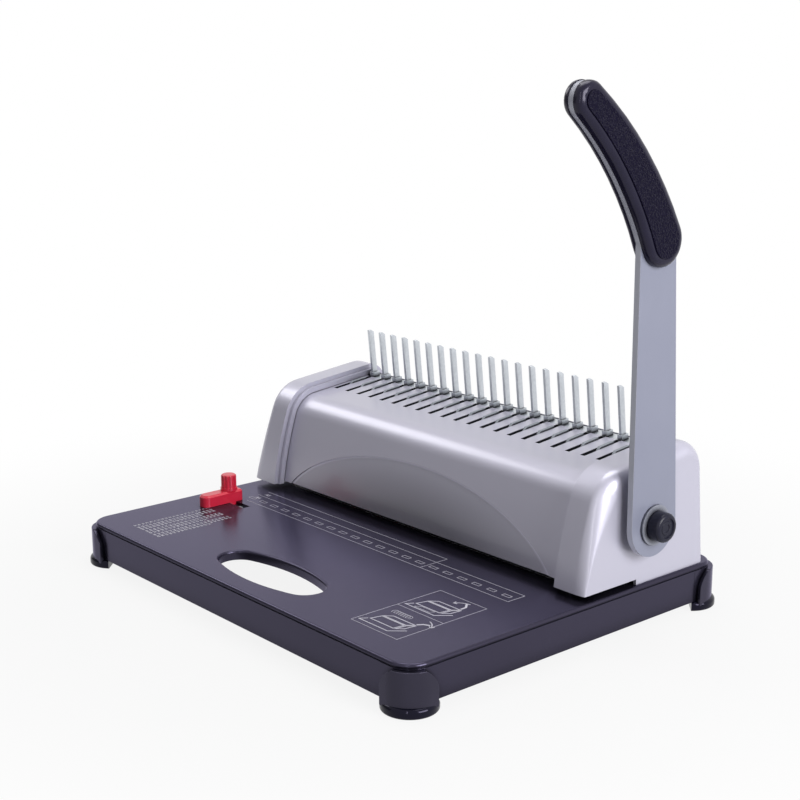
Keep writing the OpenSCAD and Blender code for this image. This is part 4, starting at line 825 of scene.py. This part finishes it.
floor = flat_sheet("floor", FLOOR_HALF, segments=2)
floor_white = new_material("floor_white")
tree = floor_white.node_tree
tree.nodes.clear()
paper = add(tree, "ShaderNodeBsdfDiffuse")
paper.inputs["Color"].default_value = FLOOR_GREY
glow = add(tree, "ShaderNodeEmission")
glow.inputs["Color"].default_value = WHITE
place = add(tree, "ShaderNodeNewGeometry")
distance = add(tree, "ShaderNodeVectorMath", operation="LENGTH")
fade = add(tree, "ShaderNodeMapRange", interpolation_type="SMOOTHSTEP")
fade.inputs["From Min"].default_value = SHADOW_START
fade.inputs["From Max"].default_value = SHADOW_END
fade.inputs["To Min"].default_value = SHADOW_LEAST
share = add(tree, "ShaderNodeMath", operation="MULTIPLY")
blend = add(tree, "ShaderNodeMixShader")
end = add(tree, "ShaderNodeOutputMaterial")
tree.links.new(place.outputs["Position"], distance.inputs[0])
tree.links.new(distance.outputs["Value"], fade.inputs["Value"])
tree.links.new(fade.outputs["Result"], share.inputs[0])
tree.links.new(seen_ray(tree), share.inputs[1])
tree.links.new(share.outputs["Value"], blend.inputs["Fac"])
tree.links.new(paper.outputs["BSDF"], blend.inputs[1])
tree.links.new(glow.outputs["Emission"], blend.inputs[2])
tree.links.new(blend.outputs["Shader"], end.inputs["Surface"])
floor.data.materials.append(floor_white)

world = bpy.data.worlds.new("studio")
world.use_nodes = True
bpy.context.scene.world = world
tree = world.node_tree
surround = tree.nodes["Background"]
surround.inputs["Color"].default_value = WHITE
level = add(tree, "ShaderNodeMapRange")
level.inputs["To Min"].default_value = SURROUND_LIGHT
level.inputs["To Max"].default_value = 1.0
tree.links.new(seen_ray(tree), level.inputs["Value"])
tree.links.new(level.outputs["Result"], surround.inputs["Strength"])


def soft_lamp(name, place, target, width, height, watts):
    """A wide area lamp that points at a target."""
    light = bpy.data.lights.new(name, "AREA")
    light.shape = "RECTANGLE"
    light.size = width
    light.size_y = height
    light.energy = watts
    lamp = bpy.data.objects.new(name, light)
    lamp.location = place
    lamp.rotation_euler = (target - Vector(place)).to_track_quat("-Z", "Y").to_euler()
    bpy.context.scene.collection.objects.link(lamp)


middle = Vector((0.0, 0.03, 0.08))
soft_lamp("top_lamp", (-0.1, 0.25, 1.5), middle, width=1.2, height=0.7, watts=11.5)
soft_lamp("right_lamp", (1.6, 0.2, 0.7), middle, width=1.0, height=0.9, watts=31)
soft_lamp("left_lamp", (-1.4, -0.30, 1.2), middle, width=0.7, height=0.7, watts=6.0)
soft_lamp("front_lamp", (1.05, -1.25, 0.75), middle, width=0.05, height=1.5, watts=3.2)

# The screen stands to the left of the camera, hidden from it, and tones the head's front
SCREEN_GREY, SCREEN_LIGHT = (0.05, 0.05, 0.05, 1.0), 0.32
card = flat_sheet("card", 0.5, segments=1)
card.location = (-0.85, -0.75, 0.38)
card.scale = (1.3, 0.7, 1.0)
card.rotation_mode = "QUATERNION"
card.rotation_quaternion = (middle - card.location).to_track_quat("Z", "Y")
card.visible_camera = False
card_grey = new_material("card_grey")
shader = shader_of(card_grey)
shader.inputs["Base Color"].default_value = SCREEN_GREY
shader.inputs["Roughness"].default_value = 0.9
shader.inputs["Emission Color"].default_value = WHITE
shader.inputs["Emission Strength"].default_value = SCREEN_LIGHT
card.data.materials.append(card_grey)

# Camera: at the photograph's place and angle, out from the tray's front right corner and a little above.
# Place, angles and lens come from a fit to the comb row, the row of marks and the tray's edges.
AZIMUTH, ELEVATION, ROLL = math.radians(49.23), math.radians(13.56), math.radians(-0.14)
STAND, SENSOR, FOCAL = (0.7914, -0.6725, 0.3871), 36.0, 67.4
view = bpy.data.cameras.new("camera")
view.sensor_width = SENSOR
view.lens = FOCAL
camera = bpy.data.objects.new("camera", view)
camera.location = STAND
level_sight = Vector((-math.sin(AZIMUTH), math.cos(AZIMUTH), 0.0))
sight = level_sight * math.cos(ELEVATION) - Vector((0.0, 0.0, math.sin(ELEVATION)))
camera.rotation_mode = "QUATERNION"
camera.rotation_quaternion = sight.to_track_quat("-Z", "Y") @ Quaternion((0.0, 0.0, 1.0), ROLL)
bpy.context.scene.collection.objects.link(camera)
bpy.context.scene.camera = camera
bpy.context.scene.view_settings.view_transform = "Standard"
